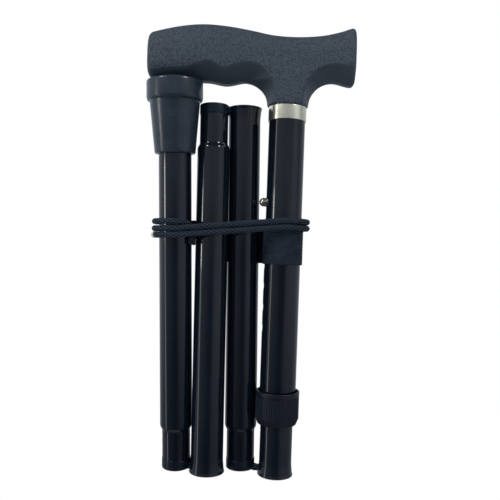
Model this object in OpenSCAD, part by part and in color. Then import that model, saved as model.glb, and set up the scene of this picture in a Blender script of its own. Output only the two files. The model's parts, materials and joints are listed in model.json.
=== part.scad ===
// Folding walking cane, folded in four and bound with its wrist cord.
// The shaft's axis is vertical and the bells of sections one and three stand on the floor.
// Millimetres; +Z runs up the shaft, -X is the handle's nose, -Y is the front.

/* [Tubes] */
// Outside diameter of the upper tube
upper_od = 21.8; // [20.5:0.1:26]
// Wall of the upper tube
upper_wall = 1; // [0.8:0.1:1.1]
// Outside diameter of the lower tubes
tube_od = 19.5; // [18:0.1:19.6]
// Wall of the lower tubes
tube_wall = 0.9; // [0.7:0.05:1.2]
// How far a bell's lip stands out from its tube
bell_flare = 0.5; // [0.3:0.05:0.7]
// Length of a bell
bell_l = 7; // [4:0.5:12]
// Length of section two and of section three, end to end
section_l = 221; // [190:1:230]
// How far the handle's collar lies above the upper ends of sections two and three
collar_over = 0.2; // [0:0.1:12]

/* [Spigots] */
// Outside diameter of a swaged spigot
spigot_od = 17; // [15.5:0.1:17.2]
// Length of a spigot from its shoulder to the end of its bush
spigot_l = 26; // [18:0.5:32]
// Length of the shoulder where the tube is swaged down
shoulder_l = 2.4; // [1:0.1:4]
// Outside diameter of a spigot's end bush
bush_od = 17.5; // [17.1:0.05:17.6]
// Length of the end bush that shows
bush_l = 6; // [5.5:0.5:9]

/* [Folded bundle] */
// Distance of section two from the shaft, at the floor
section_2_x = 21.1; // [20.6:0.1:26]
// Distance of section three from the shaft, at the floor
section_3_x = 41.2; // [40.8:0.1:48]
// Distance of section four from the shaft, at the floor
section_4_x = 60.2; // [59.8:0.1:68]
// How far section two lies behind the shaft
section_2_back = 7.8; // [7.7:0.1:10]
// How far section four lies behind the shaft, at the floor
section_4_back = 5.4; // [5.2:0.1:8]
// Lean of section two away from the shaft, in degrees
section_2_lean = 1.25; // [0.8:0.05:2]
// Lean of section three away from the shaft, in degrees
section_3_lean = 0.76; // [0.5:0.05:1.2]
// Lean of section four away from the shaft, in degrees
section_4_lean = 1.85; // [1.6:0.05:3]
// Lean of section four towards the front, in degrees
section_4_front_lean = 3; // [2:0.05:3.5]
// Height of the swung ends above the floor
end_lift = 0.7; // [0.7:0.1:2]

/* [Handle] */
// Length of the handle from nose to tail
handle_l = 124.2; // [115:0.1:140]
// Distance of the nose from the shaft's axis
nose_reach = 84.6; // [75:0.1:95]
// Height of the handle above its collar
handle_h = 49.2; // [46:0.1:60]
// Width of the handle at the palm
handle_w = 27; // [24.5:0.5:32]
// Radius of the handle's rounded ends
handle_end_r = 3; // [2:0.5:8]
// Radius of the handle's neck at the collar
neck_r = 12.3; // [11.6:0.1:14]
// How far the upper tube reaches into the handle
handle_socket_l = 24; // [15:0.5:32]
// Height of the collar band
band_h = 8.6; // [5:0.1:14]
// Wall of the collar band
band_wall = 0.5; // [0.3:0.05:0.6]

/* [Height adjuster] */
// Height of the snap button above the floor
button_h = 163.8; // [150:0.1:175]
// Diameter of the snap button
button_d = 5.3; // [4:0.1:7]
// How far the snap button stands out of the upper tube
button_proud = 4.1; // [2:0.1:4.6]
// Pitch of the height holes
hole_pitch = 12.7; // [11:0.1:13.5]
// Number of height holes
hole_count = 7; // [3:1:7]
// Height of the locking ring's lower edge above the floor
ring_z = 30.6; // [24:0.1:40]
// Height of the locking ring
ring_h = 20; // [18:0.5:28]
// Outside diameter of the locking ring over its ribs
ring_od = 26.2; // [26:0.1:26.2]
// Number of ribs round the locking ring
rib_count = 56; // [24:1:72]
// Depth of the ribs
rib_depth = 0.35; // [0.2:0.05:0.45]

/* [Rubber tip] */
// Height of the rubber tip
tip_h = 43; // [40:0.5:50]
// Diameter of the tip's foot
tip_foot_d = 33.4; // [28:0.1:33.5]
// Height of the tip's foot
tip_foot_h = 12; // [6:0.5:14]
// Diameter of the tip just above its foot
tip_top_d = 29.8; // [26:0.1:29.8]
// Diameter of the tip's mouth
tip_mouth_d = 24.2; // [23:0.1:25]
// Thickness of rubber between the tube's end and the ground
tip_floor = 7; // [4:0.5:10]
// How far the tip's foot stands above the upper ends of sections two and three
tip_over = 12.2; // [5:0.1:12.3]

/* [Cords and strap] */
// Diameter of the elastic shock cord
shock_d = 4; // [3:0.1:4.4]
// Diameter of the braided wrist cord
wrist_d = 3.2; // [2.6:0.1:3.4]
// Width of the webbing strap
strap_w = 22; // [16:0.5:26]
// Thickness of the webbing strap
strap_t = 1; // [0.6:0.1:1.1]
// Distance of the strap's upper edge below the snap button
strap_drop = 15.3; // [12:0.1:25]

/* [Hidden] */
// Smoothness of round parts
$fn = 64;
// Overrun of every cut
over = 1;
// Running fit between a spigot's bush, or a sliding tube, and its bore
fit = 0.1;
// Gap of a seat between two pieces that are fixed together
seat = 0.05;
// Gap between pieces that lie against each other
rest_gap = 0.35;
// Radii that follow from the diameters
upper_r = upper_od / 2;
upper_bore = upper_r - upper_wall;
tube_r = tube_od / 2;
tube_bore = tube_r - tube_wall;
bell_r = tube_r + bell_flare;
spigot_r = spigot_od / 2;
spigot_bore = spigot_r - tube_wall;
bush_r = bush_od / 2;
shock_r = shock_d / 2;
wrist_r = wrist_d / 2;
tip_foot_r = tip_foot_d / 2;
ring_r = ring_od / 2;
button_r = button_d / 2;
// Heights that follow from the sections' length and from the button
shaft_h = section_l + collar_over;
tip_foot_z = section_l + tip_over;
strap_z = button_h - strap_drop - strap_w;
// Share of the box's middle: the origin lies under the middle of the folded cane
half_share = 0.5;
shaft_x = nose_reach - handle_l * half_share;
tip_front = tip_foot_r + tip_foot_z * sin(section_4_front_lean) - section_4_back;
// How far the strap's tail stands off the tubes that it lies behind
tail_stand = 3 * rest_gap;
bundle_back = section_2_back + tube_r + tail_stand + strap_t;
shaft_y = (tip_front - bundle_back) * half_share;

// Places of the four sections: foot, front lean, side lean and length
section_3_z = bell_r * sin(section_3_lean) + seat;
section_4_l = (tip_foot_z - end_lift) / cos(section_4_lean) / cos(section_4_front_lean);
FEET = [[0, 0, 0],
    [-section_2_x, section_2_back, end_lift],
    [-section_3_x, 0, section_3_z],
    [-section_4_x, section_4_back, end_lift]];
LEANS = [[0, 0], [0, -section_2_lean], [0, -section_3_lean], [section_4_front_lean, -section_4_lean]];
LENGTHS = [shaft_h, section_l, section_l, section_4_l];

function shaft_at(p) = p + [shaft_x, shaft_y, 0];
function lean_axis(lean) =
    [cos(lean[0]) * sin(lean[1]), -sin(lean[0]), cos(lean[0]) * cos(lean[1])];
function on_axis(n, z) = shaft_at(FEET[n] + z * lean_axis(LEANS[n]));

module at_section(n) {
    translate(shaft_at(FEET[n]))
        rotate([LEANS[n][0], LEANS[n][1], 0])
            children();
}

// Where a cord crosses from a bell to the next spigot: its height and its slot
cross_z = shock_r + rest_gap;
slot_h = cross_z + shock_r + rest_gap;
slot_w = shock_d + 2 * rest_gap;
// Straight cord starts this far inside a tube's end
cord_in = 14;
// Bends of the crossing cord, measured from the tube's end and from its axis
bend_high = 9;
bend_mid = 4.6;
bend_out = 2;
bend_flat = 5;

// Direction from one section's end to the next, as an angle about Z
function turn_to(a, b, z) =
    let (d = on_axis(b, z) - on_axis(a, z)) atan2(d[1], d[0]);

// A tube swept along points: rings of n sides, square to the path
function unit(v) = v / norm(v);
function path_dir(p, i) = unit(p[min(i + 1, len(p) - 1)] - p[max(i - 1, 0)]);
function side_of(d) = unit(abs(d[2]) < norm([d[0], d[1]]) ? cross(d, [0, 0, 1]) : cross(d, [0, 1, 0]));
// The first side of each ring is the last ring's side, turned as little as the path asks
function carried_sides(p, i = 0, s = undef) =
    let (d = path_dir(p, i), u = s == undef ? side_of(d) : unit(s - (s * d) * d))
    i == len(p) - 1 ? [u] : concat([u], carried_sides(p, i + 1, u));
module swept_tube(p, r, sides) {
    us = carried_sides(p);
    rings = [for (i = [0:len(p) - 1], k = [0:sides - 1])
        let (d = path_dir(p, i), v = cross(d, us[i]), a = 360 * k / sides)
        p[i] + r * (cos(a) * us[i] + sin(a) * v)];
    last = (len(p) - 1) * sides;
    walls = [for (i = [0:len(p) - 2], k = [0:sides - 1])
        let (q = i * sides, m = (k + 1) % sides)
        each [[q + k, q + m, q + sides + m], [q + k, q + sides + m, q + sides + k]]];
    low = [for (k = [1:sides - 2]) [0, k + 1, k]];
    high = [for (k = [1:sides - 2]) [last, last + k, last + k + 1]];
    polyhedron(rings, [for (f = concat(walls, low, high)) [f[0], f[2], f[1]]]);
}

// A smooth curve through points [x, y], at x
function slope_at(p, i) =
    let (a = max(i - 1, 0), b = min(i + 1, len(p) - 1)) (p[b][1] - p[a][1]) / (p[b][0] - p[a][0]);
function span_of(p, x, i = 0) = i >= len(p) - 2 || x < p[i + 1][0] ? i : span_of(p, x, i + 1);
function smooth(p, x) =
    let (i = span_of(p, x), h = p[i + 1][0] - p[i][0], t = (x - p[i][0]) / h)
    let (t2 = t * t, t3 = t2 * t)
    (2 * t3 - 3 * t2 + 1) * p[i][1] + (t3 - 2 * t2 + t) * h * slope_at(p, i)
        + (3 * t2 - 2 * t3) * p[i + 1][1] + (t3 - t2) * h * slope_at(p, i + 1);

// Handle outline: shares of its length from the nose, and of its height above the collar
top_shares = [[0, 0.85], [0.14, 0.935], [0.256, 0.969], [0.372, 0.957], [0.488, 0.914],
    [0.605, 0.861], [0.72, 0.851], [0.837, 0.88], [0.923, 0.936], [0.98, 0.992], [1, 1.01]];
under_shares = [[0, 0.3], [0.137, 0.272], [0.295, 0.278], [0.382, 0.248], [0.463, 0.289],
    [0.528, 0.305], [0.679, 0.34], [0.839, 0.316], [0.903, 0.319], [0.961, 0.285], [1, 0.268]];
// Half width along the handle, as shares of half the width
width_shares = [[0, 0.8], [0.14, 0.92], [0.3, 1], [0.5, 0.98], [0.68, 0.95], [0.85, 0.9], [1, 0.74]];
// How far the neck spreads as it meets the body, towards nose and tail, and over what height
neck_spread_nose = 16;
neck_spread_tail = 15.5;
neck_rise_nose_share = 0.288;
neck_rise_tail_share = 0.316;
// Squareness of the handle's section, where 2 is an ellipse, and how tightly the neck runs into the body
section_power = 2.5;
blend_power = 4;
// Rings along the handle, and points up each side of a ring
handle_rings = 80;
handle_levels = 13;

function handle_share(x) = (x + nose_reach) / handle_l;
function handle_inset(x) =
    let (d = min(x + nose_reach, handle_l - nose_reach - x), q = 1 - min(d / handle_end_r, 1))
    handle_end_r * (1 - sqrt(1 - q * q));
function handle_top(x) = handle_h * smooth(top_shares, handle_share(x)) - handle_inset(x);
function handle_under(x) = handle_h * smooth(under_shares, handle_share(x)) + handle_inset(x);
function handle_half_w(x) =
    handle_w / 2 * smooth(width_shares, handle_share(x)) - handle_inset(x);
function neck_spread(x) = x < 0 ? neck_spread_nose : neck_spread_tail;
function neck_rise(x) = handle_h * (x < 0 ? neck_rise_nose_share : neck_rise_tail_share);
// Lowest point of the handle at x: the collar under the neck, then its flank, then the underside
function flank_share(x) = (abs(x) - neck_r) / neck_spread(x);
function handle_low(x) =
    abs(x) <= neck_r ? 0
    : flank_share(x) >= 1 ? handle_under(x)
    : min(handle_under(x), neck_rise(x) * sqrt(1 - pow(1 - flank_share(x), 2)));
// Half width of the body and of the neck at x and height z
function body_half(x, z) =
    let (lo = handle_under(x), hi = handle_top(x), q = abs(2 * z - lo - hi) / (hi - lo))
    q >= 1 ? 0 : handle_half_w(x) * pow(1 - pow(q, section_power), 1 / section_power);
function neck_reach(side, z) =
    let (t = min(z / neck_rise(side), 1)) neck_r + neck_spread(side) * (1 - sqrt(1 - t * t));
function neck_half(x, z) =
    let (q = abs(x) / neck_reach(x, z), full = handle_half_w(x))
    let (w = neck_r + (full - neck_r) * min(z / neck_rise(x), 1))
    q >= 1 ? 0 : w * sqrt(1 - q * q);
// The two run into each other, within the body's own width
function grip_half(x, z) =
    let (middle = (handle_under(x) + handle_top(x)) / 2, b = body_half(x, z), n = neck_half(x, z))
    z > middle || n == 0 ? b
    : min(pow(pow(b, blend_power) + pow(n, blend_power), 1 / blend_power), max(handle_half_w(x), n));
// Stations close up towards the rounded ends
function handle_station(k) =
    let (t = k / handle_rings, d = handle_l * t - handle_end_r * sin(360 * t) / 2)
    min(max(d, seat), handle_l - seat) - nose_reach;
// One side of a ring, from the bottom centre to the top centre
function ring_level(x, j) =
    let (flat = abs(x) < neck_r, lo = handle_low(x), n = handle_levels)
    let (t = flat ? max(j - 1, 0) / (n - 1) : j / n)
    lo + (handle_top(x) - lo) * (1 - cos(180 * t)) / 2;
function ring_side(x) =
    [for (j = [0:handle_levels]) let (z = ring_level(x, j)) [j == 0 ? 0 : grip_half(x, z), z]];

module handle_body() {
    n = 2 * handle_levels;
    xs = [for (k = [0:handle_rings]) handle_station(k)];
    points = [for (x = xs)
        let (s = ring_side(x), m = handle_levels)
        each concat([for (j = [0:m - 1]) [x, s[j][0], s[j][1]]],
            [for (j = [0:m - 1]) [x, j == 0 ? 0 : -s[m - j][0], s[m - j][1]]])];
    last = handle_rings * n;
    walls = [for (i = [0:handle_rings - 1], k = [0:n - 1])
        let (q = i * n, m = (k + 1) % n)
        each [[q + k, q + m, q + n + m], [q + k, q + n + m, q + n + k]]];
    nose = [for (k = [1:n - 2]) [0, k + 1, k]];
    tail = [for (k = [1:n - 2]) [last, last + k, last + k + 1]];
    polyhedron(points, [for (f = concat(walls, nose, tail)) [f[0], f[2], f[1]]]);
}

// Shaft

module handle_grip() {
    color("#1d1d1f")
        translate(shaft_at([0, 0, shaft_h]))
            difference() {
                handle_body();
                translate([0, 0, -over])
                    cylinder(h = handle_socket_l + over, r = upper_r + seat);
            }
}

module collar_band() {
    color("#c8c8cc")
        translate(shaft_at([0, 0, shaft_h - seat - band_h]))
            difference() {
                cylinder(h = band_h, r = upper_r + seat + band_wall);
                translate([0, 0, -over])
                    cylinder(h = band_h + 2 * over, r = upper_r + seat);
            }
}

// The collet and the ring share these heights
ring_wall_top = 2.6;
collet_lip = 7;
collet_z = ring_z + collet_lip;
collet_h = ring_h - collet_lip - ring_wall_top;
collet_lip_h = 5;
tube_end_z = collet_z + collet_lip_h;
collet_wall = 1;
collet_r = upper_r + seat + collet_wall;
collet_slit_w = 1.2;
collet_slits = 4;

// A hole's radius in the upper tube
height_hole_r = button_r + 2 * fit;

module upper_tube() {
    h = shaft_h + handle_socket_l - seat - tube_end_z;
    color("#141416")
        translate(shaft_at([0, 0, tube_end_z]))
            difference() {
                cylinder(h = h, r = upper_r);
                translate([0, 0, -over])
                    cylinder(h = h + 2 * over, r = upper_bore);
                for (k = [0:hole_count - 1])
                    translate([0, 0, button_h - tube_end_z - k * hole_pitch])
                        rotate([0, -90, 0])
                            cylinder(h = upper_r + over, r = height_hole_r);
            }
}

module collet_bush() {
    color("#232325")
        translate(shaft_at([0, 0, collet_z]))
            difference() {
                cylinder(h = collet_h, r = collet_r);
                translate([0, 0, collet_lip_h])
                    cylinder(h = collet_h, r = upper_r + seat);
                translate([0, 0, -over])
                    cylinder(h = collet_h, r = tube_r + fit);
                for (k = [0:collet_slits - 1])
                    rotate([0, 0, 360 * k / collet_slits])
                        translate([0, -collet_slit_w / 2, -over])
                            cube([collet_r + over, collet_slit_w, collet_lip_h]);
            }
}

// Ring: plain rim at the top, ribbed barrel, cone below
ring_cone_h = 4;
ring_lip_t = 1.6;
ring_cone_r = tube_r + ring_lip_t;
ring_rim_h = 3.6;
ring_rim_r = 1.4;
ring_bore = collet_r + fit;
ring_throat = tube_r + 2 * rest_gap;
// Each rib has four points: two in the groove, two on the crest
rib_step_shares = [0, 0.2, 0.5, 0.7];

module ring_barrel(h) {
    linear_extrude(h)
        polygon([for (k = [0:rib_count - 1], s = [0:len(rib_step_shares) - 1])
            let (a = 360 * (k + rib_step_shares[s]) / rib_count, r = ring_r - (s < 2 ? rib_depth : 0))
            r * [cos(a), sin(a)]]);
}

module lock_ring() {
    cone_r = ring_r - 2 * rib_depth;
    rim_r = ring_r + seat;
    color("#18181a")
        translate(shaft_at([0, 0, ring_z]))
            difference() {
                union() {
                    cylinder(h = ring_cone_h, r1 = ring_cone_r, r2 = cone_r);
                    translate([0, 0, ring_cone_h])
                        ring_barrel(ring_h - ring_cone_h - ring_rim_h);
                    translate([0, 0, ring_h - ring_rim_h])
                        rotate_extrude()
                            polygon([[0, 0], [rim_r, 0], [rim_r, ring_rim_h - ring_rim_r],
                                [rim_r - ring_rim_r, ring_rim_h], [0, ring_rim_h]]);
                }
                translate([0, 0, collet_lip - rest_gap])
                    cylinder(h = ring_h, r = ring_bore);
                translate([0, 0, -over])
                    cylinder(h = ring_h, r = ring_throat);
            }
}

// Webbing strap: a loop round the upper tube, with a tail behind the folded sections
strap_in = upper_r + rest_gap;
strap_out = strap_in + strap_t;
// Where the tail ends, past the gap between sections three and four
tail_past = 14;
strap_mid_z = strap_z + strap_w / 2;

function flat(p) = [p[0], p[1]];
tail_a = flat(on_axis(1, strap_mid_z)) + [0, tube_r + tail_stand];
tail_b = flat(on_axis(2, strap_mid_z)) + [0, tube_r + tail_stand];
tail_c = tail_b + tail_past * unit(tail_b - tail_a);

module strap_band() {
    root = flat(shaft_at([0, 0, 0])) + [0, strap_in];
    up = [0, strap_t];
    color("#161618")
        translate([0, 0, strap_z])
            difference() {
                union() {
                    translate(shaft_at([0, 0, 0]))
                        cylinder(h = strap_w, r = strap_out);
                    linear_extrude(strap_w)
                        polygon([root, tail_a, tail_b, tail_c, tail_c + up, tail_b + up, tail_a + up,
                            root + up]);
                }
                translate(shaft_at([0, 0, -over]))
                    cylinder(h = strap_w + 2 * over, r = strap_in);
            }
}

// Wrist cord: wound round the bundle from the strap's tail, and tucked between sections three and four
// Heights of each turn on section four and on the shaft, above the strap's lower edge
left_rise = [15.3, 19.1, 23.3];
right_rise = [22.1, 25.9];
tail_rise = 15.7;
start_rise = 17;
// Points along each arc of a turn
arc_steps = 9;
cord_over = rest_gap + wrist_r;

function hull_point(c, r, a, z) = [c[0] + r * cos(a), c[1] + r * sin(a), z];
function arc_points(c, r, a, b, z, n) = [for (k = [0:n]) hull_point(c, r, a + (b - a) * k / n, z)];
// Outward angle of the straight run from circle i to circle j, going anticlockwise
function run_angle(ci, ri, cj, rj) =
    let (d = cj - ci) (atan2(d[1], d[0]) - acos((ri - rj) / norm(d)) + 360) % 360;
wind_z = strap_z + left_rise[1];
hub_s = flat(shaft_at([0, 0, 0]));
hub_2 = flat(on_axis(1, wind_z));
hub_4 = flat(on_axis(3, wind_z));
rad_s = strap_out + cord_over;
rad_2 = tube_r + tail_stand + strap_t + cord_over;
rad_4 = tube_r + 2 * rest_gap + cord_over;
ang_s2 = run_angle(hub_s, rad_s, hub_2, rad_2);
ang_24 = run_angle(hub_2, rad_2, hub_4, rad_4);
ang_4s = run_angle(hub_4, rad_4, hub_s, rad_s);
// The tucked end leaves the last turn here and bends down into the groove beside section four
tuck_turn = 296;
tail_r = 7.5;
tail_step = 15;
function tail_point(a) =
    hull_point(hub_4, rad_4, tuck_turn + tail_r * sin(a) / rad_4 * 180 / PI,
        strap_z + left_rise[2] - tail_r * (1 - cos(a)));

function back_arc(z) = arc_points(hub_2, rad_2, ang_s2, ang_24, z, 2);
function left_arc(z, end) = arc_points(hub_4, rad_4, ang_24, end, z, arc_steps);
function right_arc(z) = arc_points(hub_s, rad_s, ang_4s - 360, ang_s2, z, arc_steps);
function between(a, b, n) = [for (k = [1:n]) a + (b - a) * k / (n + 1)];
function joined(a, b, n) = concat(a, between(a[len(a) - 1], b[0], n), b);
// One turn: behind section two, round section four, across the front and round the shaft
function wound_turn(k) =
    let (left = strap_z + left_rise[k], right = strap_z + right_rise[k])
    let (before = strap_z + (k == 0 ? start_rise : right_rise[k - 1]))
    joined(joined(back_arc((before + left) / 2), left_arc(left, ang_4s), 2), right_arc(right), 3);
last_turn = joined(back_arc(strap_z + (right_rise[1] + left_rise[2]) / 2),
    left_arc(strap_z + left_rise[2], tuck_turn), 2);
tail = [for (a = [tail_step:tail_step:90]) tail_point(a)];
tuck_end = concat(flat(tail_point(90)), [strap_z + tail_rise]);
start_point = hull_point(hub_s, rad_s, ang_s2, strap_z + start_rise);
wrist_path = concat([start_point], between(start_point, wound_turn(0)[0], 1), wound_turn(0),
    between(wound_turn(0)[len(wound_turn(0)) - 1], wound_turn(1)[0], 1), wound_turn(1),
    between(wound_turn(1)[len(wound_turn(1)) - 1], last_turn[0], 1), last_turn,
    tail, [tuck_end]);

// Least gap between two turns of the cord, measured on points along the path
fine_steps = 4;
fine_path = [for (i = [0:len(wrist_path) - 2], k = [0:fine_steps - 1])
    wrist_path[i] + (wrist_path[i + 1] - wrist_path[i]) * k / fine_steps];
near_share = 0.4;
near_count = floor(len(fine_path) * near_share / 2);
self_gap = min([for (i = [0:len(fine_path) - 1], j = [i + near_count:1:len(fine_path) - 1])
    norm(fine_path[i] - fine_path[j])]) - wrist_d;
function path_length(p, i = 0) =
    i >= len(p) - 1 ? 0 : norm(p[i + 1] - p[i]) + path_length(p, i + 1);
echo(wrist_cord_least_gap = self_gap, wrist_cord_length = path_length(wrist_path));

module wrist_cord() {
    color("#101012")
        swept_tube(wrist_path, wrist_r, 6);
}

// Crimp: a sleeve on the first turn, over the middle step of the arc round section four
crimp_wall = 0.4;
crimp_step = 5;
crimp_path = left_arc(strap_z + left_rise[0], ang_4s);
crimp_from = crimp_path[crimp_step];
crimp_way = unit(crimp_path[crimp_step + 1] - crimp_from);
crimp_l = norm(crimp_path[crimp_step + 1] - crimp_from) - 2 * rest_gap;

module cord_crimp() {
    color("#8c8c90")
        translate(crimp_from + crimp_way * rest_gap)
            rotate([0, acos(crimp_way[2]), atan2(crimp_way[1], crimp_way[0])])
                difference() {
                    cylinder(h = crimp_l, r = wrist_r + crimp_wall);
                    translate([0, 0, -over])
                        cylinder(h = crimp_l + 2 * over, r = wrist_r + seat);
                }
}

// Knot on the tucked end of the wrist cord
knot_l = 6;
knot_bulge = 0.4;
knot_waist_share = 0.75;

module cord_knot() {
    r = wrist_r + knot_bulge;
    color("#101012")
        translate(tuck_end - [0, 0, knot_l + seat])
            rotate_extrude()
                polygon([[0, 0], [r * knot_waist_share, 0], [r, knot_l / 4], [r, knot_l * 3 / 4],
                    [r * knot_waist_share, knot_l], [0, knot_l]]);
}

// Adjuster: the inner tube, its snap button and the top of the shock cord
// How far the inner tube reaches above its button
adjuster_over = 26;
adjuster_top = button_h + adjuster_over;
// How much of a bell is its straight lip
bell_lip_share = 0.25;

// Wall of a tube with a bell at its lower end, as a section to spin
module bell_profile(h) {
    lip = bell_l * bell_lip_share;
    polygon([[tube_bore, 0], [bell_r, 0], [bell_r, lip], [tube_r, bell_l], [tube_r, h], [tube_bore, h]]);
}

// Slot in a bell's rim, towards the next section
module bell_slot(angle) {
    rotate([0, 0, angle])
        translate([0, -slot_w / 2, -over])
            cube([bell_r + over, slot_w, slot_h + over]);
}

module adjuster_tube() {
    color("#141416")
        translate(shaft_at([0, 0, 0]))
            difference() {
                rotate_extrude()
                    bell_profile(adjuster_top);
                bell_slot(turn_to(0, 1, cross_z));
                translate([0, 0, button_h])
                    rotate([0, -90, 0])
                        cylinder(h = tube_r + over, r = button_r + fit);
            }
}

// Spring clip: a bent leaf that pushes the button out
clip_t = 0.6;
clip_w = 6;
clip_leg = 30;
clip_x = tube_bore - 2 * rest_gap;
button_head = 1;
button_seat_x = tube_bore - button_proud - 2 * button_head - rest_gap;

module clip_profile() {
    reach = clip_leg - button_r * 2;
    polygon([[-button_seat_x, -button_r * 2], [-button_seat_x, 0], [0, reach], [clip_x - clip_t, reach - clip_t],
        [clip_x - clip_t, -button_r * 2], [clip_x, -button_r * 2], [clip_x, reach],
        [-clip_t, reach + clip_t], [-button_seat_x - clip_t, 0], [-button_seat_x - clip_t, -button_r * 2]]);
}

module spring_clip() {
    color("#b0b0b4")
        translate(shaft_at([0, clip_w / 2, button_h]))
            rotate([90, 0, 0])
                linear_extrude(clip_w)
                    clip_profile();
}

module snap_button() {
    back = button_seat_x + clip_t + seat;
    neck = upper_r + button_proud - button_r;
    color("#6d675c")
        translate(shaft_at([0, 0, button_h]))
            rotate([0, -90, 0]) {
                translate([0, 0, back])
                    cylinder(h = button_head, r = button_r + button_head);
                translate([0, 0, back])
                    cylinder(h = neck - back, r = button_r);
                translate([0, 0, neck])
                    intersection() {
                        sphere(r = button_r);
                        cylinder(h = button_r, r = button_r);
                    }
            }
}

// The shock cord is knotted above a plug in the adjuster
// How far the plug lies below the button
anchor_drop = 30;
anchor_z = button_h - anchor_drop;
anchor_h = 6;

module cord_anchor() {
    color("#d8d8d4")
        translate(shaft_at([0, 0, anchor_z]))
            difference() {
                cylinder(h = anchor_h, r = tube_bore - seat);
                translate([0, 0, -over])
                    cylinder(h = anchor_h + 2 * over, r = shock_r + fit);
            }
}

// A straight length of shock cord in section n, from a to b above its foot
module shock_cord(n, a, b) {
    color("#0c0c0e")
        at_section(n)
            translate([0, 0, a])
                cylinder(h = b - a, r = shock_r);
}

// A knot at the end of the shock cord
knot_r = shock_d;

module shock_cord_top() {
    top = anchor_z + anchor_h;
    shock_cord(0, cord_in, top + seat + over);
    color("#0c0c0e")
        translate(shaft_at([0, 0, top + seat]))
            cylinder(h = knot_r, r = knot_r);
}

// Sections two to four

// Wall of a section's tube with its swaged spigot at the lower end, up to height h
module spigot_profile(h) {
    s = spigot_l;
    b = bush_l;
    polygon([[spigot_bore, b], [spigot_r, b], [spigot_r, s - shoulder_l], [tube_r, s], [tube_r, h],
        [tube_bore, h], [tube_bore, s + tube_wall], [spigot_bore, s - shoulder_l + tube_wall]]);
}

// A section's tube: spigot at the bottom and, if belled, a bell at the top
module section_tube(h, belled) {
    rotate_extrude()
        spigot_profile(h);
    if (belled)
        translate([0, 0, h])
            mirror([0, 0, 1])
                rotate_extrude()
                    bell_profile(bell_l);
}

// End bush: shows below the tube and plugs its bore, with a slot that lets the cord out sideways
plug_l = 8;
bush_play = 1;
bush_bore = shock_r + bush_play;

module end_bush(angle) {
    color("#1b1b1d")
        difference() {
            union() {
                cylinder(h = bush_l - seat, r = bush_r);
                cylinder(h = bush_l + plug_l, r = spigot_bore - seat);
            }
            translate([0, 0, -over])
                cylinder(h = bush_l + plug_l + 2 * over, r = bush_bore);
            rotate([0, 0, angle])
                translate([0, -slot_w / 2, -over])
                    cube([bush_r + over, slot_w, bend_high + over]);
        }
}

module tube_2() {
    color("#141416")
        at_section(1)
            difference() {
                section_tube(section_l, true);
                translate([0, 0, section_l])
                    mirror([0, 0, 1])
                        bell_slot(turn_to(1, 2, section_l));
            }
}

module end_bush_2() {
    at_section(1)
        end_bush(turn_to(1, 0, cross_z));
}

module shock_cord_2() {
    shock_cord(1, cord_in, section_l - cord_in);
}

// Section three stands on its bell, with its spigot at the top
module inverted(h) {
    translate([0, 0, h])
        mirror([0, 0, 1])
            children();
}

module tube_3() {
    color("#141416")
        at_section(2)
            difference() {
                inverted(section_l)
                    section_tube(section_l, true);
                bell_slot(turn_to(2, 3, cross_z));
            }
}

module end_bush_3() {
    at_section(2)
        inverted(section_l)
            end_bush(turn_to(2, 1, section_l));
}

module shock_cord_3() {
    shock_cord(2, cord_in, section_l - cord_in);
}

// Section four ends in the rubber tip
washer_t = 1.2;
tube_4_l = section_4_l - tip_floor - washer_t;
stop_h = 5;

module tube_4() {
    color("#141416")
        at_section(3)
            section_tube(tube_4_l, false);
}

module end_bush_4() {
    at_section(3)
        end_bush(turn_to(3, 2, cross_z));
}

module cord_stop() {
    color("#d8d8d4")
        at_section(3)
            translate([0, 0, tube_4_l - stop_h - knot_r - rest_gap])
                difference() {
                    cylinder(h = stop_h, r = tube_bore - seat);
                    translate([0, 0, -over])
                        cylinder(h = stop_h + 2 * over, r = shock_r + fit);
                }
}

module shock_cord_4() {
    end = tube_4_l - knot_r - rest_gap;
    shock_cord(3, cord_in, end + seat + over);
    color("#0c0c0e")
        at_section(3)
            translate([0, 0, end + seat])
                cylinder(h = knot_r, r = knot_r);
}

// Tip: a socket for the tube, a tapered wall and a stepped foot with rounded edges
tip_edge = 1.5;

module rubber_tip() {
    mouth = section_4_l - tip_h;
    step = section_4_l - tip_foot_h;
    color("#202022")
        at_section(3)
            difference() {
                rotate_extrude()
                    polygon([[0, mouth], [tip_mouth_d / 2 - tip_edge, mouth], [tip_mouth_d / 2, mouth + tip_edge],
                        [tip_top_d / 2, step], [tip_foot_r - tip_edge / 2, step], [tip_foot_r, step + tip_edge],
                        [tip_foot_r, section_4_l - tip_edge], [tip_foot_r - tip_edge, section_4_l],
                        [0, section_4_l]]);
                translate([0, 0, mouth - over])
                    cylinder(h = tip_h - tip_floor + over, r = tube_r + seat);
            }
}

module tip_washer() {
    color("#b0b0b4")
        at_section(3)
            translate([0, 0, tube_4_l + seat])
                cylinder(h = washer_t - 2 * seat, r = tube_r);
}

// Crossing cords at the three folds: from section a's bell to section b's spigot
function fold_route(a, za, b, zb, up) =
    let (u = unit(on_axis(b, zb) - on_axis(a, za)))
    [on_axis(a, za + up * (cord_in - rest_gap)), on_axis(a, za + up * bend_high),
        on_axis(a, za + up * bend_mid) + bend_out * u, on_axis(a, za + up * cross_z) + bend_flat * u,
        on_axis(b, zb + up * (cross_z + end_drop)) - bend_flat * u,
        on_axis(b, zb + up * bend_mid) - bend_out * u, on_axis(b, zb + up * bend_high),
        on_axis(b, zb + up * (cord_in - rest_gap))];
// The spigots end a little inside the bells' rims
end_drop = -end_lift * half_share;

module fold_cord(a, za, b, zb, up) {
    color("#0c0c0e")
        swept_tube(fold_route(a, za, b, zb, up), shock_r, 8);
}

module cord_bend_upper() {
    fold_cord(0, 0, 1, 0, 1);
}

module cord_bend_middle() {
    fold_cord(1, section_l, 2, section_l, -1);
}

module cord_bend_lower() {
    fold_cord(2, 0, 3, 0, 1);
}

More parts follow.
